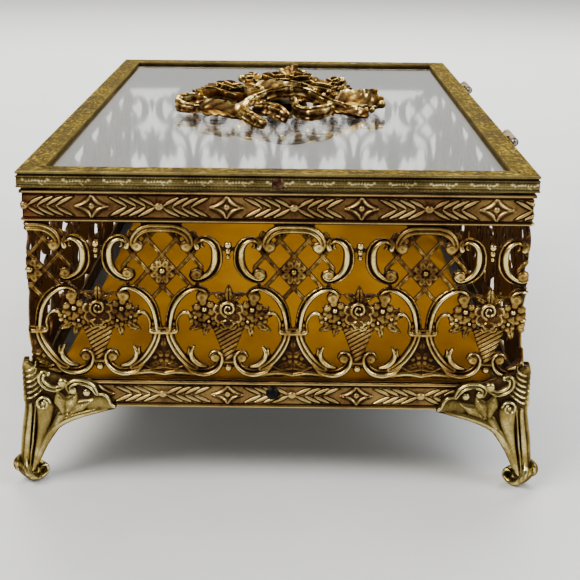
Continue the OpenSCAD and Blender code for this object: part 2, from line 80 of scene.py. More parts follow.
camera_data = bpy.data.cameras.new("camera")
camera_data.lens = FOCAL_MM
camera_data.sensor_width = SENSOR_MM
camera_data.clip_start = 0.01
camera = bpy.data.objects.new("camera", camera_data)
turn = Matrix.Rotation(math.radians(90 - LOOK_DOWN), 3, "X") @ Matrix.Rotation(math.radians(ROLL), 3, "Z")
camera.rotation_euler = turn.to_euler()
camera.location = Vector(CAMERA_AT) * MM
bpy.context.scene.collection.objects.link(camera)
bpy.context.scene.camera = camera
print("camera", [round(v, 3) for v in camera.location], "lens", FOCAL_MM)

# %% Colours and a node helper
def hex_linear(code):
    """An sRGB hex colour as linear RGBA."""
    parts = [int(code[i:i + 2], 16) / 255 for i in (1, 3, 5)]
    return [c / 12.92 if c <= 0.04045 else ((c + 0.055) / 1.055) ** 2.4 for c in parts] + [1.0]


def add(tree, kind, inputs=None, **settings):
    """Adds a node. An input that is another node's socket becomes a link."""
    made = tree.nodes.new(kind)
    for key, value in settings.items():
        setattr(made, key, value)
    for key, value in (inputs or {}).items():
        socket = made.inputs[key]
        if isinstance(value, bpy.types.NodeSocket):
            tree.links.new(value, socket)
        else:
            socket.default_value = value
    return made


def new_material(name):
    """An empty node material: returns it, its tree and its Principled shader."""
    made = bpy.data.materials.new(name)
    made.use_nodes = True
    tree = made.node_tree
    return made, tree, tree.nodes["Principled BSDF"]


def ramp(tree, factor, stops):
    """A colour ramp through (place, hex) stops."""
    made = add(tree, "ShaderNodeValToRGB", {"Fac": factor})
    points = made.color_ramp.elements
    while len(points) < len(stops):
        points.new(0.5)
    for point, (place, code) in zip(points, stops):
        point.position = place
        point.color = hex_linear(code)
    return made.outputs["Color"]


def per_metre(size_mm):
    """The scale of a pattern whose features are size_mm apart."""
    return 1 / (size_mm * MM)


def noise(tree, size_mm, detail=3.0, stretch=(1, 1, 1)):
    """Cloudy noise in the object's own space, size_mm from cloud to cloud."""
    place = add(tree, "ShaderNodeTexCoord").outputs["Object"]
    if stretch != (1, 1, 1):
        place = add(tree, "ShaderNodeMapping", {"Vector": place, "Scale": stretch}).outputs[0]
    made = add(tree, "ShaderNodeTexNoise",
               {"Vector": place, "Scale": per_metre(size_mm), "Detail": detail})
    return made.outputs["Fac"]


def remap(tree, value, from_low, from_high, to_low, to_high):
    made = add(tree, "ShaderNodeMapRange", {
        "Value": value, "From Min": from_low, "From Max": from_high,
        "To Min": to_low, "To Max": to_high})
    return made.outputs["Result"]


def bump(tree, height, strength, depth_mm, under=None):
    inputs = {"Height": height, "Strength": strength, "Distance": depth_mm * MM}
    if under is not None:
        inputs["Normal"] = under
    return add(tree, "ShaderNodeBump", inputs).outputs["Normal"]

# %% Lights, world and floor
def area_light(name, at_mm, size_mm, power, tint):
    """A soft box that faces the middle of the object."""
    data = bpy.data.lights.new(name, "AREA")
    data.shape = "RECTANGLE"
    data.size, data.size_y = (s * MM for s in size_mm)
    data.energy = power
    data.color = hex_linear(tint)[:3]
    made = bpy.data.objects.new(name, data)
    made.location = Vector(at_mm) * MM
    target = Vector((0, 0, 40)) * MM
    made.rotation_euler = (target - made.location).to_track_quat("-Z", "Y").to_euler()
    bpy.context.scene.collection.objects.link(made)
    return made


area_light("key", (-620, -420, 900), (700, 500), 16.0, "#fffaf2")
area_light("fill", (760, -300, 620), (450, 600), 7.0, "#f4f7ff")
area_light("back", (80, 760, 760), (1100, 500), 15.0, "#ffffff")
low_front = area_light("low_front", (-60, -950, 230), (1100, 260), 4.0, "#fffdf8")
low_front.visible_glossy = False        # it opens the shadow under the box and stays out of the metal

world = bpy.data.worlds.new("studio")
world.use_nodes = True
sky = world.node_tree
way = add(sky, "ShaderNodeSeparateXYZ", {0: add(sky, "ShaderNodeTexCoord").outputs["Generated"]})
rise = ramp(sky, remap(sky, way.outputs["Z"], -1, 1, 0, 1),
            [(0.0, "#7c7c7a"), (0.5, "#c4c4c1"), (0.6, "#e6e6e2"), (1.0, "#f4f4f1")])
front = remap(sky, way.outputs["Y"], -0.8, 0.75, 0.18, 1.62)
shade = add(sky, "ShaderNodeMix", {6: rise, 7: (1, 1, 1, 1)}, data_type="RGBA", blend_type="MULTIPLY")
shade.inputs[0].default_value = 1.0
grey = add(sky, "ShaderNodeCombineXYZ", {0: front, 1: front, 2: front})
sky.links.new(grey.outputs[0], shade.inputs[7])
background = sky.nodes["Background"]
sky.links.new(shade.outputs[2], background.inputs["Color"])
background.inputs["Strength"].default_value = 0.75
bpy.context.scene.world = world

floor_mat, floor_tree, floor_shader = new_material("whitewashed_board")
floor_tone = noise(floor_tree, 60.0, 4.0)
near_white = ramp(floor_tree, floor_tone, [(0.3, "#cecfce"), (0.7, "#d8d9d7")])
floor_spot = add(floor_tree, "ShaderNodeTexCoord").outputs["Object"]
far_off = add(floor_tree, "ShaderNodeSeparateXYZ", {0: floor_spot}).outputs["Y"]
lighter = add(floor_tree, "ShaderNodeMix", {0: remap(floor_tree, far_off, 0.1, 0.7, 0.0, 1.0),
                                            6: near_white, 7: hex_linear("#f7f7f3")}, data_type="RGBA")
floor_tree.links.new(lighter.outputs[2], floor_shader.inputs["Base Color"])
floor_shader.inputs["Roughness"].default_value = 0.62
HALF = 1.6        # half of the floor's width, m
floor_mesh = bpy.data.meshes.new("floor")
floor_mesh.from_pydata([(-HALF, -HALF, 0), (HALF, -HALF, 0), (HALF, HALF, 0), (-HALF, HALF, 0)],
                       [], [(0, 1, 2, 3)])
floor_mesh.materials.append(floor_mat)
floor = bpy.data.objects.new("floor", floor_mesh)
bpy.context.scene.collection.objects.link(floor)
print("lights, world and floor are in")

# %% [markdown]
# ## The metals
#
# Ormolu here is stamped brass, gilded and then antiqued: a brown lacquer is washed over it and
# wiped off again. It stays in the recesses and comes off the crests, so colour, metal and gloss
# all follow the relief. Every relief mesh below carries an attribute called wear, which
# is 0 in the deepest recess and 1 on a rubbed crest. On the stamped gallery and the feet it is also
# pulled down along the outline of every shape, beside the openings, and that part is painted shade.
# One function turns it into a finish, and each finish is this function with its own colours.

# %% Antiqued gilding
def antiqued(name, stops, gloss=(0.58, 0.30), grain_mm=0.5, cloud_mm=7.0, cloud=0.22, pits=0.25, blush=None):
    """Gilding wiped with brown lacquer. stops are colours from the recesses to the crests.
    blush is a second set of stops, for the patches where the gilding is worn to the copper."""
    made, tree, shader = new_material(name)
    # the attribute holds the lacquer's wear from recess to crest, and on the gallery and feet also painted
    # shade along each shape's outline
    wear = add(tree, "ShaderNodeAttribute", attribute_name="wear").outputs["Fac"]
    clouds = remap(tree, noise(tree, cloud_mm, 4.0), 0.3, 0.7, -cloud, cloud)
    wear_and_shade_level = add(tree, "ShaderNodeMath", {0: wear, 1: clouds}, operation="ADD").outputs[0]
    grain = noise(tree, grain_mm, 2.0)
    fine = remap(tree, grain, 0.35, 0.65, -0.07, 0.07)
    wear_and_shade_level = add(tree, "ShaderNodeMath", {0: wear_and_shade_level, 1: fine}, operation="ADD", use_clamp=True).outputs[0]
    colour = ramp(tree, wear_and_shade_level, stops)
    if blush:
        patch = remap(tree, noise(tree, 26.0, 2.0), 0.56, 0.66, 0.0, 0.85)
        copper = ramp(tree, wear_and_shade_level, blush)
        mixed = add(tree, "ShaderNodeMix", {0: patch, 6: colour, 7: copper}, data_type="RGBA")
        colour = mixed.outputs[2]
    tree.links.new(colour, shader.inputs["Base Color"])
    shader.inputs["Specular Tint"].default_value = hex_linear("#d9ccae")
    tree.links.new(remap(tree, wear_and_shade_level, 0.0, 0.35, 0.75, 1.0), shader.inputs["Metallic"])
    tree.links.new(remap(tree, wear_and_shade_level, 0.1, 0.9, *gloss), shader.inputs["Roughness"])
    tree.links.new(bump(tree, grain, pits, 0.03), shader.inputs["Normal"])
    return made


GILT = [(0.0, "#1c0e08"), (0.2, "#3a2111"), (0.42, "#5f431f"), (0.66, "#866a34"), (0.86, "#aa8e4e"),
        (1.0, "#e0cb88")]
BANDED = [(0.0, "#1c0f08"), (0.2, "#4a311a"), (0.42, "#775a33"), (0.7, "#8f7442"), (1.0, "#bda566")]
COPPERY = [(0.0, "#1a0c07"), (0.25, "#3e2413"), (0.5, "#634827"), (0.75, "#7d6236"), (1.0, "#ab935b")]
COPPER = [(0.0, "#200b07"), (0.25, "#4f1e12"), (0.5, "#78391f"), (0.75, "#8f5a33"), (1.0, "#b28f58")]
OLIVE = [(0.0, "#281708"), (0.2, "#47351a"), (0.42, "#70602f"), (0.68, "#97834a"), (1.0, "#dacb8c")]
PALE = [(0.0, "#130d07"), (0.25, "#3f341c"), (0.5, "#6a5b33"), (0.78, "#988755"), (1.0, "#d8cd9e")]
AGED = [(0.0, "#150b07"), (0.25, "#3a2413"), (0.5, "#6a4c2a"), (0.75, "#a08349"), (1.0, "#e8d794")]

gilt_gallery = antiqued("antiqued_gilt_stamping", GILT, (0.46, 0.24))
gilt_base = antiqued("antiqued_gilt_band", BANDED, (0.46, 0.28))
copper_rim = antiqued("copper_worn_gilt_band", COPPERY, (0.46, 0.3), cloud_mm=12.0, blush=COPPER)
gilt_feet = antiqued("polished_olive_gilt", OLIVE, (0.45, 0.22))
pale_lid = antiqued("frosted_gilt_lid_rail", PALE, (0.6, 0.4), grain_mm=0.35, cloud=0.14)
aged_spray = antiqued("aged_gilt_casting", AGED, (0.46, 0.24), cloud=0.2)
print("six gilt finishes")

# %% Plain metals without relief
def plain_metal(name, dark, light, metallic, roughness, cloud_mm=2.0, pits=0.2, stretch=(1, 1, 1)):
    """A metal part too plain to carry a wear map: two tones, mixed by noise."""
    made, tree, shader = new_material(name)
    cloud = noise(tree, cloud_mm, 4.0, stretch)
    tree.links.new(ramp(tree, cloud, [(0.35, dark), (0.65, light)]), shader.inputs["Base Color"])
    shader.inputs["Metallic"].default_value = metallic
    tree.links.new(remap(tree, cloud, 0.3, 0.7, roughness + 0.1, roughness), shader.inputs["Roughness"])
    tree.links.new(bump(tree, noise(tree, 0.4, 2.0), pits, 0.02), shader.inputs["Normal"])
    return made


tarnished = plain_metal("tarnished_brass", "#3a2614", "#7c6236", 1.0, 0.42)
rivet_brown = plain_metal("browned_rivet", "#2a1a12", "#5d4230", 1.0, 0.38, cloud_mm=1.0)
dark_inner = plain_metal("lacquered_inner_strip", "#1c1109", "#3d2816", 0.9, 0.5, cloud_mm=6.0)
washer_brass = plain_metal("turned_brass", "#8a7442", "#b9a268", 1.0, 0.3)
floor_tin = plain_metal("japanned_tinplate", "#15110d", "#2b221a", 0.6, 0.45, cloud_mm=9.0)
black_screw = plain_metal("oil_blackened_steel", "#060606", "#1a1917", 0.9, 0.4, cloud_mm=0.8)
drawn_wire = plain_metal("drawn_steel_wire", "#6f6a62", "#9a948a", 1.0, 0.32, stretch=(8, 1, 8))
print("seven plain metals")

# %% [markdown]
# ## Drawing relief
#
# A stamped sheet is a height field: at each place it has one height above its back. So each
# pattern is drawn like a medal die, with a few tools on a fine grid: a moulded stroke for
# scrolls, a dome for beads and petals, and a pointed leaf. Each tool gives a height and the
# distance in from its own outline. The highest tool wins, and where no tool reaches, the sheet
# is pierced. This keeps real openings and real relief in one closed mesh.

# %% The canvas and its tools
EDGE = 0.35     # height of the sheet where a shape ends, mm


def spline(points, per):
    """A smooth line through a few points, by Catmull-Rom, with per steps between two."""
    p = np.array(points, float)
    if len(p) < 3:
        return p
    grown = np.vstack([2 * p[0] - p[1], p, 2 * p[-1] - p[-2]])
    t = np.linspace(0, 1, per, endpoint=False)[:, None]
    runs = [0.5 * (2 * b + (c - a) * t + (2 * a - 5 * b + 4 * c - d) * t ** 2
                   + (3 * b - a - 3 * c + d) * t ** 3)
            for a, b, c, d in zip(grown, grown[1:], grown[2:], grown[3:])]
    return np.vstack(runs + [p[-1:]])


def dome(q):
    return np.sqrt(np.clip(1 - q * q, 0, 1))


def reeds(count):
    """A section with count rounded reeds side by side."""
    def section(q):
        shift = 1 / count if count % 2 == 0 else 0
        wave = np.abs(np.cos(0.5 * np.pi * count * (q + shift)))
        return dome(np.abs(q) ** 2.5) * (0.45 + 0.55 * wave ** 0.8)
    return section


def moulded(q):
    """A scroll's section: a broad round on one side, a hollow, and a fine bead on the other side."""
    broad = dome(np.clip((q + 0.36) / 0.64, -1, 1)) ** 1.5
    bead = 0.66 * dome(np.clip((q - 0.74) / 0.26, -1, 1))
    return np.maximum(np.maximum(broad, bead), 0.14)


def moulded_in(q):
    """The same section with its bead on the other side."""
    return moulded(-q)


class Canvas:
    """A height field. inside is the distance in from the outline; all sizes are in mm."""

    def __init__(self, x0, x1, z0, z1, step):
        nx, nz = round((x1 - x0) / step) + 1, round((z1 - z0) / step) + 1
        self.x, self.z = np.meshgrid(np.linspace(x0, x1, nx), np.linspace(z0, z1, nz), indexing="ij")
        self.step = (x1 - x0) / (nx - 1)
        self.inside = np.full(self.x.shape, -9.0)
        self.high = np.full(self.x.shape, EDGE)

    def add(self, inside, high):
        reached = inside > -self.step
        self.high = np.where(reached, np.maximum(self.high, high), self.high)
        self.inside = np.maximum(self.inside, inside)

    def stroke(self, points, radii, rise, section=dome, per=7):
        """A moulded line along points, with a half width and a rise at each point."""
        line = spline(points, per)
        place = np.linspace(0, 1, len(line))
        keys = np.linspace(0, 1, len(points))
        wide = np.interp(place, keys, np.broadcast_to(radii, len(points)))
        tall = np.interp(place, keys, np.broadcast_to(rise, len(points)))
        best = np.full(self.x.shape, -9.0)
        across = np.zeros(self.x.shape)
        height = np.zeros(self.x.shape)
        for i in range(len(line) - 1):
            a, d = line[i], line[i + 1] - line[i]
            px, pz = self.x - a[0], self.z - a[1]
            t = np.clip((px * d[0] + pz * d[1]) / max(d @ d, 1e-9), 0, 1)
            gap = np.hypot(px - t * d[0], pz - t * d[1])
            r = wide[i] + (wide[i + 1] - wide[i]) * t
            nearer = r - gap > best
            side = np.sign(d[0] * pz - d[1] * px)
            best = np.where(nearer, r - gap, best)
            across = np.where(nearer, side * gap / r, across)
            height = np.where(nearer, tall[i] + (tall[i + 1] - tall[i]) * t, height)
        self.add(best, EDGE + height * section(np.clip(across, -1, 1)))

    def ball(self, x, z, r, rise, hollow=0.0):
        """A bead, or a cupped petal where hollow is over 0."""
        q = np.hypot(self.x - x, self.z - z) / r
        cup = hollow * np.exp(-(q / 0.45) ** 2)
        self.add(r * (1 - q), EDGE + rise * (dome(np.clip(q, 0, 1)) - cup))

    def oval(self, x, z, rx, rz, angle, rise, cup=0.0, flat=0.6):
        """A cupped oval petal, turned by angle."""
        c, s = math.cos(math.radians(angle)), math.sin(math.radians(angle))
        u = ((self.x - x) * c + (self.z - z) * s) / rx
        v = ((self.z - z) * c - (self.x - x) * s) / rz
        q = np.hypot(u, v)
        bowl = 1 - cup * np.exp(-(q / 0.6) ** 2)
        self.add((1 - q) * min(rx, rz), EDGE + rise * dome(np.clip(q, 0, 1)) ** flat * bowl)

    def leaf(self, x, z, angle, length, width, rise, veins=3):
        """A pointed leaf from its stalk, with a sunk midrib and side veins."""
        c, s = math.cos(math.radians(angle)), math.sin(math.radians(angle))
        u = ((self.x - x) * c + (self.z - z) * s) / length
        v = (self.z - z) * c - (self.x - x) * s
        half_w = 0.5 * width * np.sin(np.pi * np.clip(u, 0, 1) ** 0.8) ** 0.85
        inside = np.where((u > 0) & (u < 1), half_w - np.abs(v), -9.0)
        q = np.abs(v) / np.maximum(half_w, 0.05)
        vein = 0.22 * np.abs(np.sin(np.pi * veins * (u + 0.35 * q)))
        midrib = 0.45 * np.exp(-(v / 0.14) ** 2)
        self.add(inside, EDGE + rise * (0.55 + 0.45 * np.sqrt(np.clip(1 - q, 0, 1)) - vein - midrib))

    def both_sides(self, draw):
        """Runs draw in the right half, then the same mirrored into the left half."""
        for flip in (1, -1):
            self.x *= flip
            draw(self)
            self.x *= flip


def blurred(field, cells):
    """A height field smoothed by three box averages each way."""
    out = field.copy()
    for _ in range(3):
        for axis in (0, 1):
            pad = [(0, 0), (0, 0)]
            pad[axis] = (cells + 1, cells)
            total = np.cumsum(np.pad(out, pad, mode="edge"), axis=axis)
            size = out.shape[axis]
            ahead = np.take(total, range(2 * cells + 1, 2 * cells + 1 + size), axis=axis)
            behind = np.take(total, range(size), axis=axis)
            out = (ahead - behind) / (2 * cells + 1)
    return out


def wear_and_edge_shade_of(canvas, base=0.38, crest=1.5, rise=0.4, mid=0.8, line=0.42, reach_mm=0.6):
    """1 on crests, 0 in recesses: the height, and how far it stands above what is near. Along each shape's
    outline it is pulled down as painted shade beside the openings.
    """
    stands = canvas.high - blurred(canvas.high, max(1, round(reach_mm / canvas.step)))
    # painted shade: up to line darker, fading within about 0.2 mm inside the edge of every shape
    outline = line * np.exp(-np.maximum(canvas.inside, 0) / 0.2)
    return np.clip(base + crest * stands + rise * (canvas.high - mid) - outline, 0, 1)


print("relief tools ready")

# %% [markdown]
# ## The gallery's repeat
#
# One repeat of the strip has a basket of roses inside a wreath, with lattice under an arch on
# both sides of it. Heights are measured from the top of the base band. Everything in a function
# that goes through both_sides is drawn on the right and mirrored to the left.

# %% Sizes of the strip
case_low, case_high = box_mm("base_band")
HALF_X, HALF_Y = case_high[0], case_high[1]
BASE_Z, GALLERY_Z = case_low[2], case_high[2]
rim_low, rim_high = box_mm("rim_band")
GALLERY_H = rim_low[2] - GALLERY_Z
strip_low, strip_high = box_mm("gallery_right_end")
TUCK = GALLERY_Z - strip_low[2]
BACK_IN = HALF_Y + strip_high[1]        # depth of the sheet's back, in from the outer face
FRONT_IN = HALF_Y + strip_low[1]        # depth of the bands' inner face
REPEATS = 20
ROUND = 4 * (HALF_X + HALF_Y)           # way round the outside of the case
PITCH = ROUND / REPEATS
FIRST = 15.25                           # from the seam corner to the first basket
MID = PITCH / 2                         # the arch's axis, half way between two baskets
GRID = 0.22                             # step of the drawing grid
KEEP = 0.42                             # share of a strip's triangles that is kept
print(f"strip {ROUND:.1f} mm round, {REPEATS} repeats of {PITCH:.2f}, {GALLERY_H:.1f} high")

# %% Lattice, arch and side scrolls
CELL_X, CELL_Z = 3.3, 3.7     # half a diamond of the lattice
KNOT_Z = 26.5                 # height of the lattice's middle knot
WREATH_Z, WREATH_R = 13.2, 12.9


def lattice(c):
    bar = 0.5
    lean = math.hypot(1 / CELL_X, 1 / CELL_Z)
    clear = np.minimum.reduce([
        np.hypot(c.x, c.z - WREATH_Z) - WREATH_R,
        10.6 - np.hypot(c.x - MID, c.z - KNOT_Z),
        np.where(c.z > 30.6, c.x - 7.2, c.x - 5.6)])
    for slope in (1, -1):
        for k in (-1, 1, 3):
            away = np.abs((c.z - KNOT_Z) / CELL_Z - slope * (c.x - MID) / CELL_X - k) / lean
            q = np.clip(away / bar, 0, 1)
            groove = 0.4 + 0.6 * np.sin(np.pi * q) ** 0.7
            c.add(np.minimum(bar - away, clear), EDGE + 0.42 * groove * dome(q ** 3))
    for dx, dz in ((0, 1), (0, -1), (2, 1), (1, 2), (1, 0)):
        c.ball(MID - dx * CELL_X, KNOT_Z + dz * CELL_Z, 0.62, 0.38)


def arch(c):
    top = GALLERY_H - 1.35
    c.stroke([(MID + 0.1, top), (MID - 2.8, top - 0.12), (MID - 4.8, top - 0.85), (MID - 6.15, top - 2.2),
              (MID - 6.6, top - 3.6), (MID - 6.2, top - 4.7), (MID - 5.4, top - 5.2)],
             [1.1, 1.1, 1.08, 1.0, 0.85, 0.7, 0.5], [0.72, 0.72, 0.75, 0.75, 0.7, 0.6, 0.5], reeds(2))
    c.ball(MID - 5.6, top - 4.2, 1.45, 0.95, 0.3)
    c.add(np.minimum(c.z - top, 4.6 - np.abs(c.x - MID)), EDGE + 0.12)
    c.leaf(7.2, 34.4, 58, 2.1, 1.1, 0.6, 1)
    c.leaf(8.0, 34.4, 20, 1.7, 0.9, 0.5, 1)


def lattice_flower(c):
    c.ball(MID, KNOT_Z, 2.3, 0.1)
    for i in range(8):
        turn = 22.5 + 45 * i
        out = (math.cos(math.radians(turn)), math.sin(math.radians(turn)))
        c.oval(MID + 1.9 * out[0], KNOT_Z + 1.9 * out[1], 1.1, 0.78, turn, 0.85, 0.45)
    c.ball(MID, KNOT_Z, 0.78, 0.95)


def side_scroll(c):
    c.stroke([(6.9, 33.4), (5.6, 34.1), (4.0, 33.6), (2.85, 32.2), (2.5, 30.2), (2.75, 28.1),
              (3.8, 26.2), (5.4, 25.0), (7.2, 24.5), (8.4, 25.3), (8.3, 26.5)],
             [0.55, 0.7, 0.95, 1.2, 1.35, 1.35, 1.15, 0.9, 0.7, 0.55, 0.4],
             [0.6, 0.75, 0.85, 0.9, 0.95, 0.95, 0.9, 0.85, 0.8, 0.7, 0.5], moulded_in)
    c.ball(7.1, 25.95, 1.4, 0.9, 0.35)
    c.stroke([(6.9, 34.1), (7.35, 33.1), (7.05, 32.1)], [0.5, 0.65, 0.75], [0.5, 0.8, 0.95])
    c.stroke([(5.9, 33.2), (6.0, 32.4), (5.6, 32.2)], [0.3, 0.35, 0.3], 0.6)


def between_scrolls(c):
    """Three beads in a drop, on a thin web that ties the two scrolls."""
    c.add(np.minimum(1.6 - np.abs(c.x), 0.42 - np.abs(c.z - 31.8)), EDGE + 0.1)
    for z, r, rise, hollow in ((32.7, 0.85, 0.9, 0.2), (31.2, 0.72, 0.8, 0.2), (29.9, 0.58, 0.7, 0)):
        c.ball(0, z, r, rise, hollow)

# %% Wreath, bottom scrolls and the sprigged panel
def wreath(c):
    c.stroke([(4.6, 20.8), (5.1, 21.9), (6.9, 22.65), (9.2, 22.1), (11.4, 20.4), (12.9, 18.0),
              (13.6, 15.2), (13.9, 12.6)],
             [0.42, 0.5, 0.68, 0.88, 1.0, 1.0, 0.95, 0.88],
             [0.6, 0.7, 0.85, 0.9, 0.95, 0.95, 0.95, 0.9], moulded)
    c.ball(6.0, 20.5, 1.5, 0.9, 0.35)
    c.stroke([(13.9, 12.2), (13.4, 10.2), (12.2, 7.8), (10.6, 5.6), (8.8, 4.0), (7.6, 3.4)],
             [0.9, 1.0, 1.08, 1.05, 0.95, 0.75], [0.9, 0.95, 0.95, 0.9, 0.85, 0.8], reeds(2))
    c.stroke([(12.3, 12.05), (MID + 0.3, 11.95)], [0.6, 0.66], 0.92)
    c.stroke([(12.6, 13.0), (MID + 0.3, 13.05)], 0.31, 0.7)
    c.ball(12.3, 12.3, 0.75, 0.95)
    c.stroke([(11.8, 12.4), (12.0, 14.4), (11.2, 16.2), (9.7, 16.9), (8.3, 15.9), (7.2, 15.8)],
             [0.35, 0.38, 0.36, 0.5, 0.3, 0.3], [0.6, 0.6, 0.6, 0.9, 0.5, 0.5])


def bottom_scroll(c):
    c.stroke([(10.0, 4.2), (8.2, 2.7), (5.7, 2.15), (3.5, 2.8), (2.1, 4.3), (1.75, 6.1), (2.6, 7.2),
              (3.8, 7.1), (4.4, 6.2)],
             [0.7, 1.05, 1.15, 1.1, 0.95, 0.75, 0.6, 0.5, 0.4],
             [0.7, 0.9, 0.95, 0.95, 0.9, 0.85, 0.8, 0.7, 0.6], moulded_in)
    c.ball(3.1, 5.9, 1.3, 0.9, 0.35)
    c.stroke([(8.0, 8.6), (8.7, 7.1), (8.3, 5.5), (6.9, 4.2), (5.2, 3.7)],
             [0.3, 0.62, 0.75, 0.65, 0.35], [0.6, 0.9, 1.0, 0.9, 0.6])
    c.stroke([(9.3, 8.1), (9.4, 6.8)], [0.35, 0.4], 0.7)
    c.leaf(9.6, 3.4, -100, 2.0, 1.0, 0.7, 1)
    c.stroke([(7.2, 1.5), (9.5, 2.1), (12.2, 2.3), (MID + 0.2, 1.7)], [0.5, 0.65, 0.65, 0.5],
             [0.6, 0.7, 0.7, 0.6])


def panel(c):
    """The solid ground between two wreaths, with a wavy lower edge and a sprig on it."""
    wavy = c.z - 1.5 - 0.35 * np.cos(2 * np.pi * (c.x - MID) / 7.0)
    ground = np.minimum.reduce([np.hypot(c.x, c.z - WREATH_Z) - 12.6, np.abs(c.x) - 5.0, 12.4 - c.z, wavy])
    c.add(ground, EDGE + 0.12 + 0.05 * np.sin(9 * c.x) * np.sin(7 * c.z))
    c.leaf(MID, 8.4, 90, 2.8, 1.7, 0.55, 2)
    c.leaf(MID - 0.4, 6.7, 150, 2.3, 1.2, 0.5, 2)
    for dx, z, r in ((0.75, 6.4, 0.62), (2.1, 5.9, 0.6), (0.7, 5.1, 0.55)):
        c.ball(MID - dx, z, r, 0.6, 0.3)
    c.leaf(MID - 0.6, 4.8, 200, 3.2, 1.4, 0.55, 3)
    c.leaf(MID, 3.2, 90, 1.9, 1.2, 0.5, 1)
    c.stroke([(MID - 0.3, 3.4), (MID - 2.6, 3.1), (MID - 4.6, 3.8)], [0.35, 0.4, 0.2], 0.5)

# %% Basket and roses
DAISIES = ((5.5, 17.5, 1.75), (4.5, 14.7, 1.25), (7.6, 15.6, 1.2))
SPRAY_LEAVES = ((-5.6, 14.1, -158, 4.0, 1.7), (-4.9, 13.8, -105, 2.8, 1.6), (4.9, 13.8, -78, 2.9, 1.7),
                (6.4, 14.4, -30, 4.2, 1.9), (7.0, 16.1, 2, 3.4, 1.5), (7.5, 16.8, 35, 2.6, 1.2),
                (-7.2, 15.6, 178, 2.2, 1.3), (-6.8, 17.0, 140, 2.2, 1.1), (0.15, 19.4, 91, 4.1, 2.0),
                (0.6, 19.5, 28, 3.6, 1.1), (-0.6, 19.6, 150, 3.4, 1.1), (0.5, 19.8, 52, 2.2, 0.9))


def basket(c):
    up = np.clip((c.z - 5.6) / 7.6, 0, 1)
    half_w = 0.85 + 2.85 * up
    inside = np.minimum.reduce([half_w - np.abs(c.x), c.z - 5.6, 13.4 - c.z])
    rib = np.abs(np.sin(np.pi * (c.z * 0.85 - c.x * 0.5) / 0.92))
    c.add(inside, EDGE + 0.35 * dome(0.9 * np.abs(c.x) / half_w) + 0.42 * rib)
    c.add(np.minimum(2.4 - np.abs(c.x), 0.5 - np.abs(c.z - 5.9)), EDGE + 0.1)
    c.stroke([(-1.05, 4.9), (1.05, 4.9)], 0.48, 0.75)
    c.ball(0, 3.5, 0.95, 0.9, 0.15)
    c.add(np.minimum(0.5 - np.abs(c.x), 1.0 - np.abs(c.z - 4.2)), EDGE + 0.1)


def posy(c):
    for x, z, angle, length, width in SPRAY_LEAVES:
        c.leaf(x, z, angle, length, width, 0.78, 3)
    for side in (1, -1):
        c.stroke([(side * 0.8, 21.2), (side * 2.6, 21.4), (side * 4.6, 21.1)], 0.24, 0.4)
        for x, z, r in DAISIES:
            c.ball(side * x, z, r, 0.3)
            for i in range(6):
                turn = math.radians(60 * i + 20)
                c.ball(side * (x + r * math.cos(turn)), z + r * math.sin(turn), 0.54 * r, 0.86, 0.3)
            c.ball(side * x, z, 0.4 * r, 1.0)


def stamped_rose(c, x=0.0, z=17.7):
    """A spiral heart over a dome, with the lips of the outer petals round and below it."""
    c.ball(x, z - 0.4, 2.9, 0.42)
    c.oval(x, z - 2.5, 3.2, 1.7, 0, 0.5)
    turn = np.linspace(0.3, 2 * np.pi * 1.7, 16)
    radius = 0.35 + 1.55 * (turn / turn[-1])
    heart = [(x + r * math.cos(t), z + r * math.sin(t)) for t, r in zip(turn, radius)]
    c.stroke(heart, np.linspace(0.3, 0.46, 16), np.linspace(1.0, 0.84, 16), per=2)
    for dx, dz, r, start, stop in ((-1.7, -2.0, 1.25, 100, 330), (1.75, -2.0, 1.25, 80, -150),
                                   (0.0, -3.0, 1.35, 170, 370), (-2.3, 0.0, 0.95, 70, 260),
                                   (2.35, 0.0, 0.95, 110, -80), (-0.9, -3.9, 0.8, 180, 350),
                                   (1.0, -3.9, 0.8, 190, 360)):
        lip = [(x + dx + r * math.cos(math.radians(t)), z + dz + r * math.sin(math.radians(t)))
               for t in np.linspace(start, stop, 7)]
        c.oval(x + dx, z + dz, r, r, 0, 0.66, 0.3)
        c.stroke(lip, [0.2, 0.36, 0.42, 0.44, 0.42, 0.36, 0.2], 0.86, per=2)


def gallery_repeat():
    c = Canvas(-MID, MID, -TUCK, GALLERY_H + TUCK, GRID)
    for draw in (panel, lattice, arch, lattice_flower, side_scroll, wreath, bottom_scroll):
        c.both_sides(draw)
    for draw in (between_scrolls, basket, posy, stamped_rose):
        draw(c)
    for edge in (0.25 - c.z, c.z - (GALLERY_H - 0.3)):
        c.add(edge, EDGE)
    behind_bands = (c.z < 0.1) | (c.z > GALLERY_H - 0.1)
    room = np.where(behind_bands, BACK_IN - FRONT_IN - 0.05, BACK_IN)
    crest = c.high.max()
    c.high = np.minimum(EDGE + (c.high - EDGE) * min(1, (BACK_IN - EDGE) / (crest - EDGE)), room)
    return c


gallery_canvas = gallery_repeat()
print("room for the relief", round(float(BACK_IN), 2), "mm")
print("gallery repeat:", gallery_canvas.x.shape, f"{(gallery_canvas.inside > 0).mean():.0%} of it is metal")

# %% [markdown]
# ## From height field to sheet metal
#
# The field becomes a thin closed shell. Grid points just outside an outline are pulled onto it,
# so edges come out smooth instead of stepped. The front carries the relief, the back is flat,
# and a wall joins them along every edge, also round each pierced hole. The columns at the two
# ends of a repeat stay exactly where they are, because the next repeat is merged onto them.

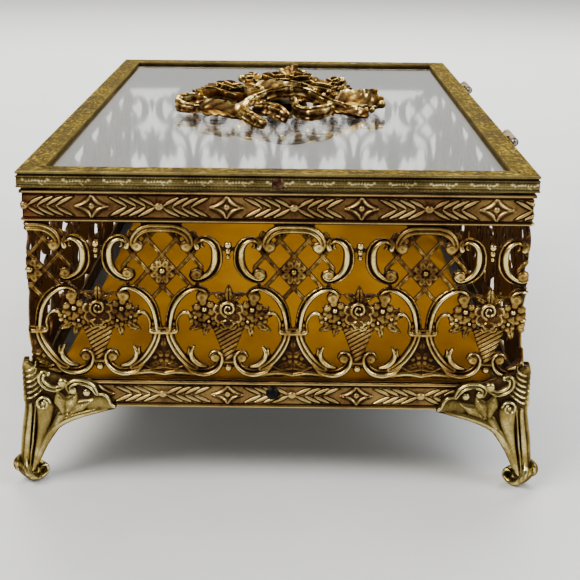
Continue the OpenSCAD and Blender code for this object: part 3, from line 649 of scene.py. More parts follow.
# %% The shell builder
def mesh_piece(name, points_mm, faces, wear=None, smooth=True, sharp=None):
    """A mesh object from points in millimetres, with its wear values stored for the materials: lacquer wear,
    and on the gallery and feet painted shade along the outlines.
    """
    mesh = bpy.data.meshes.new(name)
    mesh.from_pydata((np.asarray(points_mm) * MM).tolist(), [], [tuple(map(int, f)) for f in faces])
    if wear is not None:
        mesh.attributes.new("wear", "FLOAT", "POINT").data.foreach_set("value", np.asarray(wear, np.float32))
    mesh.polygons.foreach_set("use_smooth", [smooth] * len(mesh.polygons))
    if sharp:
        mesh.set_sharp_from_angle(angle=math.radians(sharp))
    mesh.update()
    made = bpy.data.objects.new(name, mesh)
    bpy.context.scene.collection.objects.link(made)
    return made


def shell_parts(canvas, seam=False, back_wear=0.12):
    """Points (x, depth, z), triangles and wear values. Depth 0 is the back; the front is at -height."""
    step, d = canvas.step, canvas.inside
    gx, gz = np.gradient(d, step)
    steep = np.maximum(np.hypot(gx, gz), 1e-6)
    pull = np.clip(np.where((d > -0.72 * step) & (d < 0.28 * step), -d, 0), -0.5 * step, 0.8 * step)
    x = canvas.x + pull * gx / steep
    z = canvas.z + pull * gz / steep
    if seam:
        x[0], x[-1] = canvas.x[0], canvas.x[-1]
    nx, nz = x.shape
    kept = d > -0.72 * step
    number = np.arange(nx * nz).reshape(nx, nz)
    a, b, c, e = number[:-1, :-1], number[1:, :-1], number[1:, 1:], number[:-1, 1:]
    corner = np.stack([a, b, c, e], -1).reshape(-1, 4)
    filled = kept.ravel()[corner]
    full = corner[filled.all(1)]
    high = canvas.high.ravel()
    fold = np.abs(high[full[:, 0]] - high[full[:, 2]]) <= np.abs(high[full[:, 1]] - high[full[:, 3]])
    one, two = full[fold], full[~fold]
    tris = [one[:, [0, 1, 2]], one[:, [0, 2, 3]], two[:, [0, 1, 3]], two[:, [1, 2, 3]]]
    for missing in range(4):
        three = corner[(filled.sum(1) == 3) & ~filled[:, missing]]
        tris.append(three[:, [i for i in range(4) if i != missing]])
    tris = np.vstack(tris)
    used, flat = np.unique(tris, return_inverse=True)
    front = flat.reshape(-1, 3)
    count = len(used)
    px, pz, ph = x.ravel()[used], z.ravel()[used], high[used]
    wear = canvas.wear.ravel()[used]
    points = np.vstack([np.stack([px, -ph, pz], 1), np.stack([px, 0 * ph, pz], 1)])
    edges = np.vstack([front[:, [0, 1]], front[:, [1, 2]], front[:, [2, 0]]]).astype(np.int64)
    key, other = edges[:, 0] * count + edges[:, 1], edges[:, 1] * count + edges[:, 0]
    rim = edges[~np.isin(key, other)]
    if seam:
        end = np.isin(used // nz, (0, nx - 1))
        column = used // nz
        rim = rim[~(end[rim[:, 0]] & end[rim[:, 1]] & (column[rim[:, 0]] == column[rim[:, 1]]))]
    p, q = rim[:, 0], rim[:, 1]
    walls = np.vstack([np.stack([q, p, p + count], 1), np.stack([q, p + count, q + count], 1)])
    faces = np.vstack([front, front[:, ::-1] + count, walls])
    return points, faces, np.concatenate([wear, np.full(count, back_wear)])


def thinned(obj, ratio, keep=None):
    """Takes out triangles that the shape can spare, leaving the points named in keep alone."""
    if keep is not None:
        group = obj.vertex_groups.new(name="spare")
        spare = np.ones(len(obj.data.vertices), bool)
        spare[keep] = False
        group.add([int(i) for i in np.nonzero(spare)[0]], 1.0, "REPLACE")
    change = obj.modifiers.new("thin", "DECIMATE")
    change.ratio = ratio
    if keep is not None:
        change.vertex_group = "spare"
    return baked(obj)


def baked(obj):
    """The evaluated object as a plain mesh in the same object, with no modifiers left."""
    bpy.context.view_layer.update()
    graph = bpy.context.evaluated_depsgraph_get()
    mesh = bpy.data.meshes.new_from_object(obj.evaluated_get(graph), preserve_all_data_layers=True,
                                           depsgraph=graph)
    obj.modifiers.clear()
    obj.vertex_groups.clear()
    for slot in reversed(range(len(mesh.materials))):
        if mesh.materials[slot] is None:
            mesh.materials.pop(index=slot)
    obj.data = mesh
    mesh.name = obj.name
    return obj


def relief_piece(name, canvas, seam=False, ratio=None):
    points, faces, wear = shell_parts(canvas, seam)
    piece = mesh_piece(name, points, faces, wear)
    if ratio:
        ends = np.nonzero(np.abs(points[:, 0]) > canvas.x.max() - 0.6 * canvas.step)[0] if seam else None
        piece = thinned(piece, ratio, ends)
    piece.data.polygons.foreach_set("use_smooth", [True] * len(piece.data.polygons))
    piece.data.set_sharp_from_angle(angle=math.radians(48))
    return piece


# this also paints shade along every shape's outline, beside the openings
gallery_canvas.wear = wear_and_edge_shade_of(gallery_canvas)
gallery_unit = relief_piece("gallery_repeat", gallery_canvas, seam=True, ratio=KEEP)
print("gallery repeat:", len(gallery_unit.data.polygons), "triangles,",
      [a.name for a in gallery_unit.data.attributes if a.name == "wear"])

# %% [markdown]
# ## The pressed bands
#
# The rim band and the base band carry the same border: a hollow diamond with a point in it over
# each basket, a ringed bead over each lattice, and four pairs of thin laurel leaves running out
# from the bead on each side. A nearly smooth bead line, with a cut beside it, closes each edge.

# %% Border repeat of the bands
BEAD_H = 0.6        # height of the bead line at each edge, mm


def border(c, tall):
    """c.x is 0 on the basket's axis and +-MID on the lattice's axis."""
    low, top = BEAD_H + 0.5, tall - BEAD_H - 0.5
    reach = (top - low) / 2
    ground = 0.36
    c.inside[:] = 1.0
    c.high[:] = ground
    along = MID - np.abs(c.x)       # distance from the bead's axis
    off = c.z - tall / 2

    def press(inside, high):
        c.high = np.where(inside > 0, np.maximum(c.high, high), c.high)

    def ridge(gap, width, rise):
        """A raised line where gap is near 0, with a cut on both sides of it."""
        line = np.exp(-(gap / width) ** 2)
        cut = np.exp(-((np.abs(gap) - 2.1 * width) / (0.9 * width)) ** 2)
        c.high = c.high + rise * line - 0.13 * cut

    # the four-pointed diamond, hollow-sided, round a point
    u, v = np.abs(c.x) / 3.1, np.abs(off) / reach
    hollow = (np.sqrt(u + 0.02) + np.sqrt(v + 0.02) - 1.28) * 1.5
    near = np.where((u < 1.25) & (v < 1.1), hollow, 9)
    ridge(near, 0.17, 0.32)
    q = np.hypot(c.x, off) / 0.62
    press(1 - q, ground + 0.4 * dome(np.clip(q, 0, 1)))
    # the bead, and a short leaf at each side of it
    q = np.hypot(along / 1.15, off) / 0.85
    press(1 - q, ground + 0.4 * np.sin(np.pi * np.clip(q, 0, 1)) ** 0.6)
    q = np.hypot(along, off) / 0.32
    press(1 - q, ground + 0.35 * dome(np.clip(q, 0, 1)))
    # laurel: narrow leaves in pairs that open away from the bead
    for k in range(4):
        start = 0.7 + 2.15 * k
        t = (along - start) / 4.1
        lift = reach * 0.93 * np.clip(t, 0, 1.1) ** 0.8
        half_w = 0.42 * np.sin(np.pi * np.clip(t, 0, 1) ** 0.8) ** 0.7
        gap = np.abs(np.abs(off) - lift)
        leaf = np.where((t > 0) & (t < 1), half_w - gap, -1)
        edge = np.where((t > -0.05) & (t < 1.05), np.exp(-((gap - half_w - 0.12) / 0.12) ** 2), 0)
        c.high = c.high - 0.2 * edge * (c.high <= ground + 0.02)
        press(leaf, ground + 0.24 * dome(np.clip(gap / np.maximum(half_w, 0.05), 0, 1)))
    # the two bead lines, each with a quirk cut beside it
    pearls = 0.95 + 0.05 * np.abs(np.cos(np.pi * (c.x + MID) / (PITCH / 40)))
    for line in (BEAD_H / 2, tall - BEAD_H / 2):
        q = np.clip(np.abs(c.z - line) / (BEAD_H / 2), 0, 1)
        press(1 - q, (0.8 * pearls) * (0.45 + 0.55 * dome(q)))
    for line in (BEAD_H + 0.2, tall - BEAD_H - 0.2):
        c.high = c.high - 0.24 * np.exp(-((c.z - line) / 0.17) ** 2)
    c.high = np.clip(c.high, 0.08, 0.8)


def band_unit(name, tall):
    c = Canvas(-MID, MID, 0, tall, 0.2)
    border(c, tall)
    c.wear = np.clip(0.5 + 2.5 * (c.high - blurred(c.high, 3)) + 0.2 * (c.high - 0.4), 0, 1)
    return relief_piece(name, c, seam=True, ratio=KEEP)


base_unit = band_unit("base_repeat", GALLERY_Z - BASE_Z)
rim_unit = band_unit("rim_repeat", rim_high[2] - rim_low[2])
print("band repeats:", len(base_unit.data.polygons), "and", len(rim_unit.data.polygons), "triangles")

# %% [markdown]
# ## Wrapping a strip round the case
#
# The real strip is stamped flat and then bent round four corners. Geometry Nodes do the same:
# the repeat is laid in a row, its ends are merged, and then each point is moved from the flat
# row to a path round the case. A point's distance along the row becomes its distance along the
# path, and its depth is taken square to the path. The corners bend as real sheet does.

# %% The wrapping tree
def wrap_tree(name):
    tree = bpy.data.node_groups.new(name, "GeometryNodeTree")
    face = tree.interface
    face.new_socket("Geometry", in_out="OUTPUT", socket_type="NodeSocketGeometry")
    for label, kind in (("Repeat", "Object"), ("Path", "Object"), ("Count", "Int"), ("Pitch", "Float"),
                        ("First", "Float"), ("From", "Float"), ("To", "Float"), ("Round", "Float"),
                        ("Base", "Float"), ("Metal", "Material")):
        face.new_socket(label, in_out="INPUT", socket_type="NodeSocket" + kind)
    given = add(tree, "NodeGroupInput").outputs
    repeat = add(tree, "GeometryNodeObjectInfo", {"Object": given["Repeat"]}).outputs["Geometry"]
    path = add(tree, "GeometryNodeObjectInfo", {"Object": given["Path"]}).outputs["Geometry"]
    step = add(tree, "ShaderNodeCombineXYZ", {"X": given["Pitch"]}).outputs[0]
    start = add(tree, "ShaderNodeCombineXYZ", {"X": given["First"]}).outputs[0]
    row = add(tree, "GeometryNodeMeshLine", {"Count": given["Count"], "Start Location": start,
                                             "Offset": step}).outputs["Mesh"]
    laid = add(tree, "GeometryNodeInstanceOnPoints", {"Points": row, "Instance": repeat}).outputs[0]
    real = add(tree, "GeometryNodeRealizeInstances", {"Geometry": laid}).outputs[0]
    joined = add(tree, "GeometryNodeMergeByDistance", {"Geometry": real, "Distance": 0.00001}).outputs[0]
    place = add(tree, "ShaderNodeSeparateXYZ", {0: add(tree, "GeometryNodeInputPosition").outputs[0]})
    along, depth, height = (place.outputs[i] for i in range(3))
    # keep one side of the case, by each face's middle
    spot = add(tree, "GeometryNodeFieldOnDomain", {"Value": along}, data_type="FLOAT",
               domain="FACE").outputs[0]
    low = add(tree, "FunctionNodeCompare", {"A": spot, "B": given["From"]}, operation="LESS_THAN")
    high = add(tree, "FunctionNodeCompare", {"A": spot, "B": given["To"]}, operation="GREATER_EQUAL")
    out = add(tree, "FunctionNodeBooleanMath", {0: low.outputs[0], 1: high.outputs[0]}, operation="OR")
    side = add(tree, "GeometryNodeDeleteGeometry", {"Geometry": joined, "Selection": out.outputs[0]},
               domain="FACE").outputs[0]
    # bend it round the path
    length = add(tree, "GeometryNodeCurveLength", {"Curve": path}).outputs[0]
    share = add(tree, "ShaderNodeMath", {0: along, 1: given["Round"]}, operation="DIVIDE").outputs[0]
    reach = add(tree, "ShaderNodeMath", {0: share, 1: length}, operation="MULTIPLY").outputs[0]
    sample = add(tree, "GeometryNodeSampleCurve", {"Curves": path, "Length": reach}, mode="LENGTH")
    up = add(tree, "ShaderNodeVectorMath", {0: sample.outputs["Tangent"], 1: (0, 0, -1)},
             operation="CROSS_PRODUCT").outputs[0]
    square = add(tree, "ShaderNodeVectorMath", {0: up}, operation="NORMALIZE").outputs[0]
    in_by = add(tree, "ShaderNodeVectorMath", {0: square, "Scale": depth}, operation="SCALE").outputs[0]
    lift = add(tree, "ShaderNodeMath", {0: height, 1: given["Base"]}, operation="ADD").outputs[0]
    raised = add(tree, "ShaderNodeCombineXYZ", {"Z": lift}).outputs[0]
    moved = add(tree, "ShaderNodeVectorMath", {0: sample.outputs["Position"], 1: in_by}, operation="ADD")
    placed = add(tree, "ShaderNodeVectorMath", {0: moved.outputs[0], 1: raised}, operation="ADD")
    bent = add(tree, "GeometryNodeSetPosition", {"Geometry": side, "Position": placed.outputs[0]})
    plain = add(tree, "GeometryNodeRealizeInstances", {"Geometry": bent.outputs[0]}).outputs[0]
    coated = add(tree, "GeometryNodeSetMaterial", {"Geometry": plain, "Material": given["Metal"]})
    tree.links.new(coated.outputs[0], add(tree, "NodeGroupOutput").inputs[0])
    return tree


WRAP = wrap_tree("wrap_strip")


def round_path(name, inset, radius):
    """A closed path round the case, inset from its outer face, from the right end's front corner."""
    points = []
    hx, hy = HALF_X - inset, HALF_Y - inset
    for cx, cy, first in ((-1, -1, 180), (1, -1, 270), (1, 1, 0), (-1, 1, 90)):
        for i in range(9):
            turn = math.radians(first + 90 * i / 8)
            points.append((cx * (hx - radius) + radius * math.cos(turn),
                           cy * (hy - radius) + radius * math.sin(turn), 0))
    points = points[4:] + points[:4] + [points[4]]
    curve = bpy.data.curves.new(name, "CURVE")
    curve.dimensions = "3D"
    line = curve.splines.new("POLY")
    line.points.add(len(points) - 1)
    for point, place in zip(line.points, points):
        point.co = (*[v * MM for v in place], 1)
    made = bpy.data.objects.new(name, curve)
    bpy.context.scene.collection.objects.link(made)
    return made


def wrapped(name, unit, path, start, end, base, metal):
    """Lays the repeat from start to end round the path, and returns it as a plain mesh."""
    first = math.floor((start - FIRST) / PITCH) - 1
    count = math.ceil((end - start) / PITCH) + 3
    holder = mesh_piece(name, [(0, 0, 0)], [])
    change = holder.modifiers.new("wrap", "NODES")
    change.node_group = WRAP
    for item in WRAP.interface.items_tree:
        if item.in_out != "INPUT":
            continue
        value = {"Repeat": unit, "Path": path, "Count": count, "Pitch": PITCH * MM,
                 "First": (FIRST + first * PITCH) * MM, "From": start * MM, "To": end * MM,
                 "Round": ROUND * MM, "Base": base * MM, "Metal": metal}[item.name]
        change[item.identifier] = value
    return baked(holder)


gallery_path = round_path("gallery_path", BACK_IN, 0.35)
side_ends = np.cumsum([0, 2 * HALF_X, 2 * HALF_Y, 2 * HALF_X, 2 * HALF_Y])
SIDES = ("right_end", "back", "left_end", "front")
galleries = []
for i, side in enumerate(SIDES):
    piece = wrapped("pierced_" + side, gallery_unit, gallery_path, side_ends[i], side_ends[i + 1],
                    GALLERY_Z, gilt_gallery)
    galleries.append(piece)
    print(piece.name, len(piece.data.polygons), "triangles, material", [m.name for m in piece.data.materials])

# %% [markdown]
# ## Bands round the case
#
# Each band is a ring of its repeat, bent round sharp corners, with a folded ledge joined to it:
# inwards at the top of the rim, and inwards under the base, where the floor plate lies on it.
# A ledge is a short section carried round the rectangle and mitred, so one function that sweeps
# a section with mitres serves the ledges and, later, the lid.

# %% The mitred sweep
def mitred_ring(half_x, half_y, section):
    """A closed section, (in from the face, z), swept round a rectangle. Returns points and quads."""
    n = len(section)
    points = [(cx * (half_x - u), cy * (half_y - u), z)
              for cx, cy in ((-1, -1), (1, -1), (1, 1), (-1, 1)) for u, z in section]
    faces = []
    for k in range(4):
        a, b = k * n, (k + 1) % 4 * n
        for i in range(n):
            j = (i + 1) % n
            faces.append((a + i, a + j, b + j, b + i))
    return points, faces


def joined(name, pieces):
    """Several objects as one, under a new name."""
    with bpy.context.temp_override(active_object=pieces[0], selected_editable_objects=pieces):
        bpy.ops.object.join()
    pieces[0].name = pieces[0].data.name = name
    return pieces[0]


def ledge(name, section, metal):
    points, faces = mitred_ring(HALF_X, HALF_Y, section[::-1])
    made = mesh_piece(name, points, faces, [0.45] * len(points), smooth=False)
    made.data.materials.append(metal)
    return made


def band(name, unit, inset, metal, base, section):
    path = round_path(name + "_path", inset, 0.3)
    ring = wrapped(name, unit, path, 0, ROUND, base, metal)
    bpy.data.objects.remove(path)
    return joined(name, [ring, ledge(name + "_ledge", section, metal)])


PLATE = 0.8
base_band = band("bordered_base_band", base_unit, PLATE, gilt_base, BASE_Z,
                 [(0.7, BASE_Z + 0.02), (4.0, BASE_Z + 0.02), (4.0, BASE_Z + 0.6), (0.7, BASE_Z + 0.6)])
rim_top = rim_high[2]
rim_band = band("bordered_rim_band", rim_unit, PLATE, copper_rim, rim_low[2],
                [(0.1, rim_top - 0.6), (3.0, rim_top - 0.6), (3.0, rim_top), (0.1, rim_top)])
print("bands:", len(base_band.data.polygons), len(rim_band.data.polygons), "faces")

# %% [markdown]
# ## The lid's frame
#
# The lid's edge is one pressed section: a milled edge, a band of tiny swags, another milled
# edge, a dark cove, and the wide flange that holds the glass. It is cut and mitred at the four
# corners. The section is swept along each side with a station every third of a millimetre, and
# the relief moves each point out along the section's own direction.

# %% Swept rails
rail_low, rail_high = box_mm("lid_rail_front")
LID_X = -rail_low[0]
LID_Y = rail_high[1]
LID_Z, LID_TOP = rail_low[2], rail_high[2]
FLANGE_W = rail_high[0] - rail_low[0]
GLASS_TOP = box_mm("lid_glass")[1][2]
SWAGS = 68                      # repeats of the swag round the lid
SWAG = 4 * (LID_X + LID_Y) / SWAGS
STATION = 0.32                  # way between two stations of a rail


def swag_relief(along, z):
    """Height of the lid's border over its ground, 0 to 0.16 mm. along is 0 where the dots hang."""
    low, top = LID_Z + 0.5, LID_TOP - 1.5
    reach = top - low
    v = (z - low) / reach
    high = 0.05 * np.exp(-((v - 0.28) * reach / 0.09) ** 2) + 0.05 * np.exp(-((v - 0.55) * reach / 0.09) ** 2)
    for i in range(-3, 4):
        q = np.hypot((along - 0.7 * i) / 0.3, (v - 0.66 + 0.012 * i * i) * reach / 0.32)
        high = np.maximum(high, 0.16 * dome(np.clip(q, 0, 1)))
    for side in (-1, 1):
        q = np.hypot((along - side * 2.75) / 0.42, (v - 0.74) * reach / 0.34)
        high = np.maximum(high, 0.16 * dome(np.clip(q, 0, 1)))
    fall = (v - 0.5 + 0.55 * (along - 0.7)) * reach
    tail = np.where((along > 0.6) & (along < 1.5), np.exp(-(fall / 0.2) ** 2), 0)
    high = np.maximum(high, 0.16 * tail)
    edge = np.exp(-(np.minimum(np.abs(v), np.abs(1 - v)) * reach / 0.14) ** 2)
    return np.where((v > 0) & (v < 1), high - 0.1 * edge, 0.0)


def value_noise(x, y, seed):
    """Smooth random hills, one per unit square."""
    random = np.random.default_rng(seed)
    table = random.random((64, 64))
    ix, iy = np.floor(x).astype(int), np.floor(y).astype(int)
    fx, fy = x - ix, y - iy
    fx, fy = fx * fx * (3 - 2 * fx), fy * fy * (3 - 2 * fy)
    pick = lambda a, b: table[a % 64, b % 64]
    low = pick(ix, iy) * (1 - fx) + pick(ix + 1, iy) * fx
    high = pick(ix, iy + 1) * (1 - fx) + pick(ix + 1, iy + 1) * fx
    return low * (1 - fy) + high * fy


def rail_section():
    """The rail's section as (u, z, outward u, outward z, kind), outer face first, going up."""
    rows = []
    for z in np.linspace(LID_Z, LID_Z + 0.5, 5):
        q = (z - LID_Z) / 0.5 * 2 - 1
        rows.append((0.13 * (1 - dome(q)), z, 1, 0, 1))
    for z in np.linspace(LID_Z + 0.52, LID_TOP - 1.52, 15):
        rows.append((0.16, z, 1, 0, 2))
    for z in np.linspace(LID_TOP - 1.5, LID_TOP - 1.2, 5):
        q = (z - LID_TOP + 1.5) / 0.3 * 2 - 1
        rows.append((0.12 * (1 - dome(q)), z, 1, 0, 1))
    rows += [(0.3, LID_TOP - 1.12, 0, 0, 0), (0.45, LID_TOP - 1.06, 0, 0, 0), (0.45, LID_TOP - 0.82, 0, 0, 0),
             (0.3, LID_TOP - 0.76, 0, 0, 0)]
    for angle in np.linspace(-50, 80, 6):
        a = math.radians(angle)
        rows.append((0.36 - 0.36 * math.cos(a), LID_TOP - 0.37 + 0.33 * math.sin(a), 0, 0, 3))
    for u in np.linspace(0.45, FLANGE_W - 0.3, 15):
        rows.append((u, LID_TOP - 0.06, 0, 1, 4))
    rows += [(FLANGE_W - 0.1, LID_TOP - 0.1, 0, 0, 3), (FLANGE_W, LID_TOP - 0.25, 0, 0, 3),
             (FLANGE_W, GLASS_TOP + 0.01, 0, 0, 0), (FLANGE_W - 0.68, GLASS_TOP + 0.01, 0, 0, 0),
             (FLANGE_W - 0.68, LID_TOP - 0.62, 0, 0, 0), (0.74, LID_TOP - 0.62, 0, 0, 0),
             (0.74, LID_Z + 0.02, 0, 0, 0)]
    return np.array(rows, float)


def lid_rail(name, side):
    """One side of the lid. side 0 is the right end, then the back, the left end and the front."""
    along_half, across_half = (LID_X, LID_Y) if side % 2 == 0 else (LID_Y, LID_X)
    start = [0, 2 * LID_X, 2 * LID_X + 2 * LID_Y, 4 * LID_X + 2 * LID_Y][side]
    rows = rail_section()
    stations = np.linspace(-1, 1, int(2 * along_half / STATION) + 1)
    t, u = stations[:, None], rows[None, :, 0] + 0 * stations[:, None]
    z = rows[None, :, 1] + 0 * t
    kind = rows[:, 4]
    along = t * (along_half - 0.02 - u)
    lap = (start + along_half + along) % SWAG - SWAG / 2
    wear_and_shade_level = np.full(z.shape, 0.08)       # kind 0, the cove and the faces inside
    press = swag_relief(lap, z)
    milled = 0.05 * np.abs(np.sin(np.pi * (start + along_half + along) / 0.55))
    pebble = value_noise(along / 1.5 + 40 * side, u / 0.62, 3 + side) \
        + 0.55 * value_noise(along / 0.6 + 9, u / 0.35 + 5, 13 + side)
    pebble = np.abs(pebble - 0.78)
    out = np.where(kind == 2, press, 0) - np.where(kind == 1, milled, 0)
    rise = np.where(kind == 4, -0.45 * np.clip(0.5 - 1.4 * pebble, 0, 1), 0)
    u = u - out
    z = z + rise
    wear_and_shade_level = np.where(kind == 2, 0.47 + 4.0 * press, wear_and_shade_level)
    wear_and_shade_level = np.where(kind == 1, 0.66 - 6 * milled, wear_and_shade_level)
    wear_and_shade_level = np.where(kind == 3, 0.62, wear_and_shade_level)
    wear_and_shade_level = np.where(kind == 4, 1.15 * np.clip(pebble, 0, 0.7), wear_and_shade_level)
    x, y = along, u - across_half
    turn = math.radians(90 * side)
    c, s = round(math.cos(turn)), round(math.sin(turn))
    points = np.stack([c * x - s * y, s * x + c * y, z], -1).reshape(-1, 3)
    n = len(rows)
    m = len(stations)
    number = np.arange(m * n).reshape(m, n)
    a, b = number[:-1], number[1:]
    quads = np.stack([a, b, np.roll(b, -1, 1), np.roll(a, -1, 1)], -1).reshape(-1, 4)
    faces = quads.tolist() + [number[0].tolist(), number[-1].tolist()[::-1]]
    piece = mesh_piece(name, points, faces, np.clip(wear_and_shade_level, 0, 1).ravel(), sharp=50)
    piece.data.materials.append(pale_lid)
    return piece


rails = [lid_rail("swagged_rail_" + side, i) for i, side in enumerate(SIDES)]
print("lid rails:", [len(r.data.polygons) for r in rails], "faces; flange", round(FLANGE_W, 2), "mm")

# %% [markdown]
# ## The feet
#
# Each foot is one stamping folded over the corner: an angle with scrolls on its two wings, which
# runs down into a fluted leg. It is drawn flat on a canvas, with the fold in the middle, and then
# bent, so the two wings match. Away from the fold is the same as along the wing, and the leg
# leans out by a tenth of its height.

# %% The foot's face
WING_Z, PEAK_Z = BASE_Z - 0.3, box_mm("foot_back_left")[1][2]
WING_L, ANKLE_W, HEEL_Z, LEG_SLOPE = 19.5, 2.6, 4.0, 0.34


def foot_width(z):
    """Width of one wing at height z: a falling curve above, the leg below."""
    rise = np.clip((z - WING_Z) / (PEAK_Z - WING_Z + 0.2), 0, 1)
    wing = np.maximum(1.2, WING_L * (1 - rise ** 2.3) ** 1.5)
    flare = (np.maximum(z - 7, 0) / (WING_Z - 7)) ** 5
    leg = ANKLE_W + LEG_SLOPE * np.maximum(z - HEEL_Z, 0)
    leg = leg + (WING_L - ANKLE_W - LEG_SLOPE * (WING_Z - HEEL_Z)) * flare
    return np.where(z > WING_Z, wing, leg)


def foot_face(c):
    z = c.z[0]
    width = foot_width(z)
    steep = np.hypot(1, np.gradient(width, z))
    edge = (width - np.abs(c.x)) / steep
    foot = np.minimum.reduce([edge, PEAK_Z - 0.1 - c.z, c.z - 2.7])
    c.add(np.where(c.z > WING_Z + 0.6, foot - 0.5, foot), EDGE + 0.05)
    c.both_sides(foot_scrolls)
    c.both_sides(foot_leg)


def foot_scrolls(c):
    # the fold's upright panel, with slanted gadroons
    c.stroke([(0.0, 29.3), (1.2, 27.0), (1.6, 23.0)], [0.7, 1.5, 1.9], [0.5, 0.5, 0.35])
    for i in range(6):
        z = 20.9 + 1.35 * i
        c.stroke([(0.3, z), (1.6, z + 0.9), (3.2 - 0.25 * i, z + 2.2)], [0.3, 0.36, 0.22], [0.9, 0.95, 0.6])
    # two C scrolls along the upper edge
    c.stroke([(4.6, 27.0), (3.3, 26.9), (3.0, 25.4), (4.2, 23.9), (6.2, 23.3), (7.8, 23.9)],
             [0.7, 1.0, 1.05, 1.05, 0.95, 0.7], [0.85, 1.0, 1.05, 1.05, 1.0, 0.9], reeds(2))
    c.ball(7.8, 24.7, 1.25, 1.2, 0.2)
    c.stroke([(9.4, 22.6), (9.1, 24.0), (10.7, 25.0), (13.0, 24.9), (14.7, 23.8), (15.6, 22.2)],
             [0.6, 0.85, 1.0, 1.0, 0.95, 0.6], [0.8, 1.0, 1.05, 1.05, 1.0, 0.8], reeds(2))
    c.ball(10.1, 22.9, 1.05, 1.1, 0.2)
    c.ball(13.3, 22.4, 1.0, 1.0, 0.2)
    # the wing's tip: a broad lobe with a folded lip
    c.stroke([(13.8, 19.3), (16.6, 20.2), (18.9, 18.95)], [1.4, 1.9, 0.6], [0.45, 0.6, 0.4])
    c.stroke([(15.6, 22.0), (17.3, 22.0), (18.3, 20.9), (18.7, 19.7), (19.5, 18.9)],
             [0.35, 0.5, 0.5, 0.42, 0.5], [0.7, 0.95, 0.95, 0.8, 0.7])
    # lotus petals fanned out of the leg
    for tip, wide in (((6.6, 23.1), 1.75), ((11.0, 22.3), 1.8), ((14.8, 20.7), 1.5)):
        x, z = 8.0 + 0.12 * (tip[0] - 8), 16.8
        mid = ((x + tip[0]) / 2 - 0.1, (z + tip[1]) / 2 + 0.35)
        c.stroke([(x, z), mid, tip], [0.35, wide, 0.2], [0.6, 0.95, 0.6])
        c.stroke([(x, z + 0.3), mid, tip], [0.12, 0.16, 0.08], [0.9, 1.1, 0.8])


def foot_leg(c):
    # rolled rim along the underside
    zs = np.array([3.6, 6.0, 8.0, 10.0, 12.0, 13.5, 14.8, 15.8, 16.6, 17.2, 17.7, 18.0])
    xs = foot_width(zs) - 0.7
    line = [(x, z + 0.3) for x, z in zip(xs, zs)]
    c.stroke(line, [0.55, 0.65, 0.75, 0.9, 1.0, 1.05, 1.0, 0.95, 0.85, 0.75, 0.65, 0.5],
             [0.7, 0.75, 0.8, 0.85, 0.9, 0.9, 0.85, 0.8, 0.75, 0.65, 0.5, 0.3], per=2)
    # the belly below the volute, a second one beside it, and the flutes down to the ankle
    c.stroke([(3.5, 18.7), (3.5, 15.2), (2.9, 11.0), (2.1, 6.5), (1.6, 3.4)],
             [2.2, 1.75, 1.05, 0.6, 0.42], [0.95, 1.0, 0.9, 0.8, 0.8])
    c.stroke([(7.3, 16.6), (5.9, 13.6), (4.2, 9.6), (2.7, 5.0)], [1.3, 1.1, 0.6, 0.35], [0.8, 0.85, 0.7, 0.6])
    for x0, x1, r in ((0.4, 0.3, 0.45), (1.3, 0.9, 0.38)):
        c.stroke([(x0, 19.4), (x0, 12.0), (x1, 3.4)], [0.25, r, 0.4], [0.6, 0.95, 0.85])
    turn = np.linspace(0, 2 * np.pi * 1.15, 12)
    radius = 1.75 - 0.95 * turn / turn[-1]
    volute = [(3.2 + r * math.cos(t + 0.2), 19.7 + r * math.sin(t + 0.2)) for t, r in zip(turn, radius)]
    c.stroke(volute, 0.42, [1.25] * 12, per=3)
    c.ball(3.2, 19.7, 0.7, 1.35)


FOLD_R = 0.6          # radius of the fold, mm
FOOT_SHEET = 0.3      # extra thickness of the foot's sheet, mm


def bent(points, flip_x, flip_y):
    """Flat points (along, -height, z) bent over the fold, for the foot at one corner."""
    a, high, z = points[:, 0], -points[:, 1], points[:, 2]
    lean = 0.02 + 0.1 * np.clip(WING_Z - np.maximum(z, HEEL_Z), 0, None)
    turn = np.clip(a / FOLD_R, -math.pi / 4, math.pi / 4) + math.pi / 4
    rest = np.maximum(np.abs(a) - FOLD_R * math.pi / 4, 0)
    x = lean - FOLD_R + (FOLD_R + high) * np.cos(turn) - np.where(a > 0, rest, 0)
    y = lean - FOLD_R + (FOLD_R + high) * np.sin(turn) - np.where(a < 0, rest, 0)
    return np.stack([flip_x * (HALF_X + x), flip_y * (HALF_Y + y), z], 1)


foot_canvas = Canvas(-20.2, 20.2, 2.5, PEAK_Z + 0.3, 0.2)
foot_face(foot_canvas)
# line=0.5 paints shade along the outline of every shape on the foot
foot_canvas.wear = wear_and_edge_shade_of(foot_canvas, 0.44, 1.35, 0.12, mid=1.0, line=0.5, reach_mm=0.8)
foot_canvas.high = foot_canvas.high + FOOT_SHEET
foot_flat = shell_parts(foot_canvas)
print("foot, flat:", len(foot_flat[1]), "triangles")

# %% [markdown]
# Below the ankle the sheet is rolled under into a toe that curls in towards the middle of the
# box, with a lobe of the leg's edge on each side of the heel. These are swept straps: a line of
# points, each with a direction across, a half width and a half thickness.

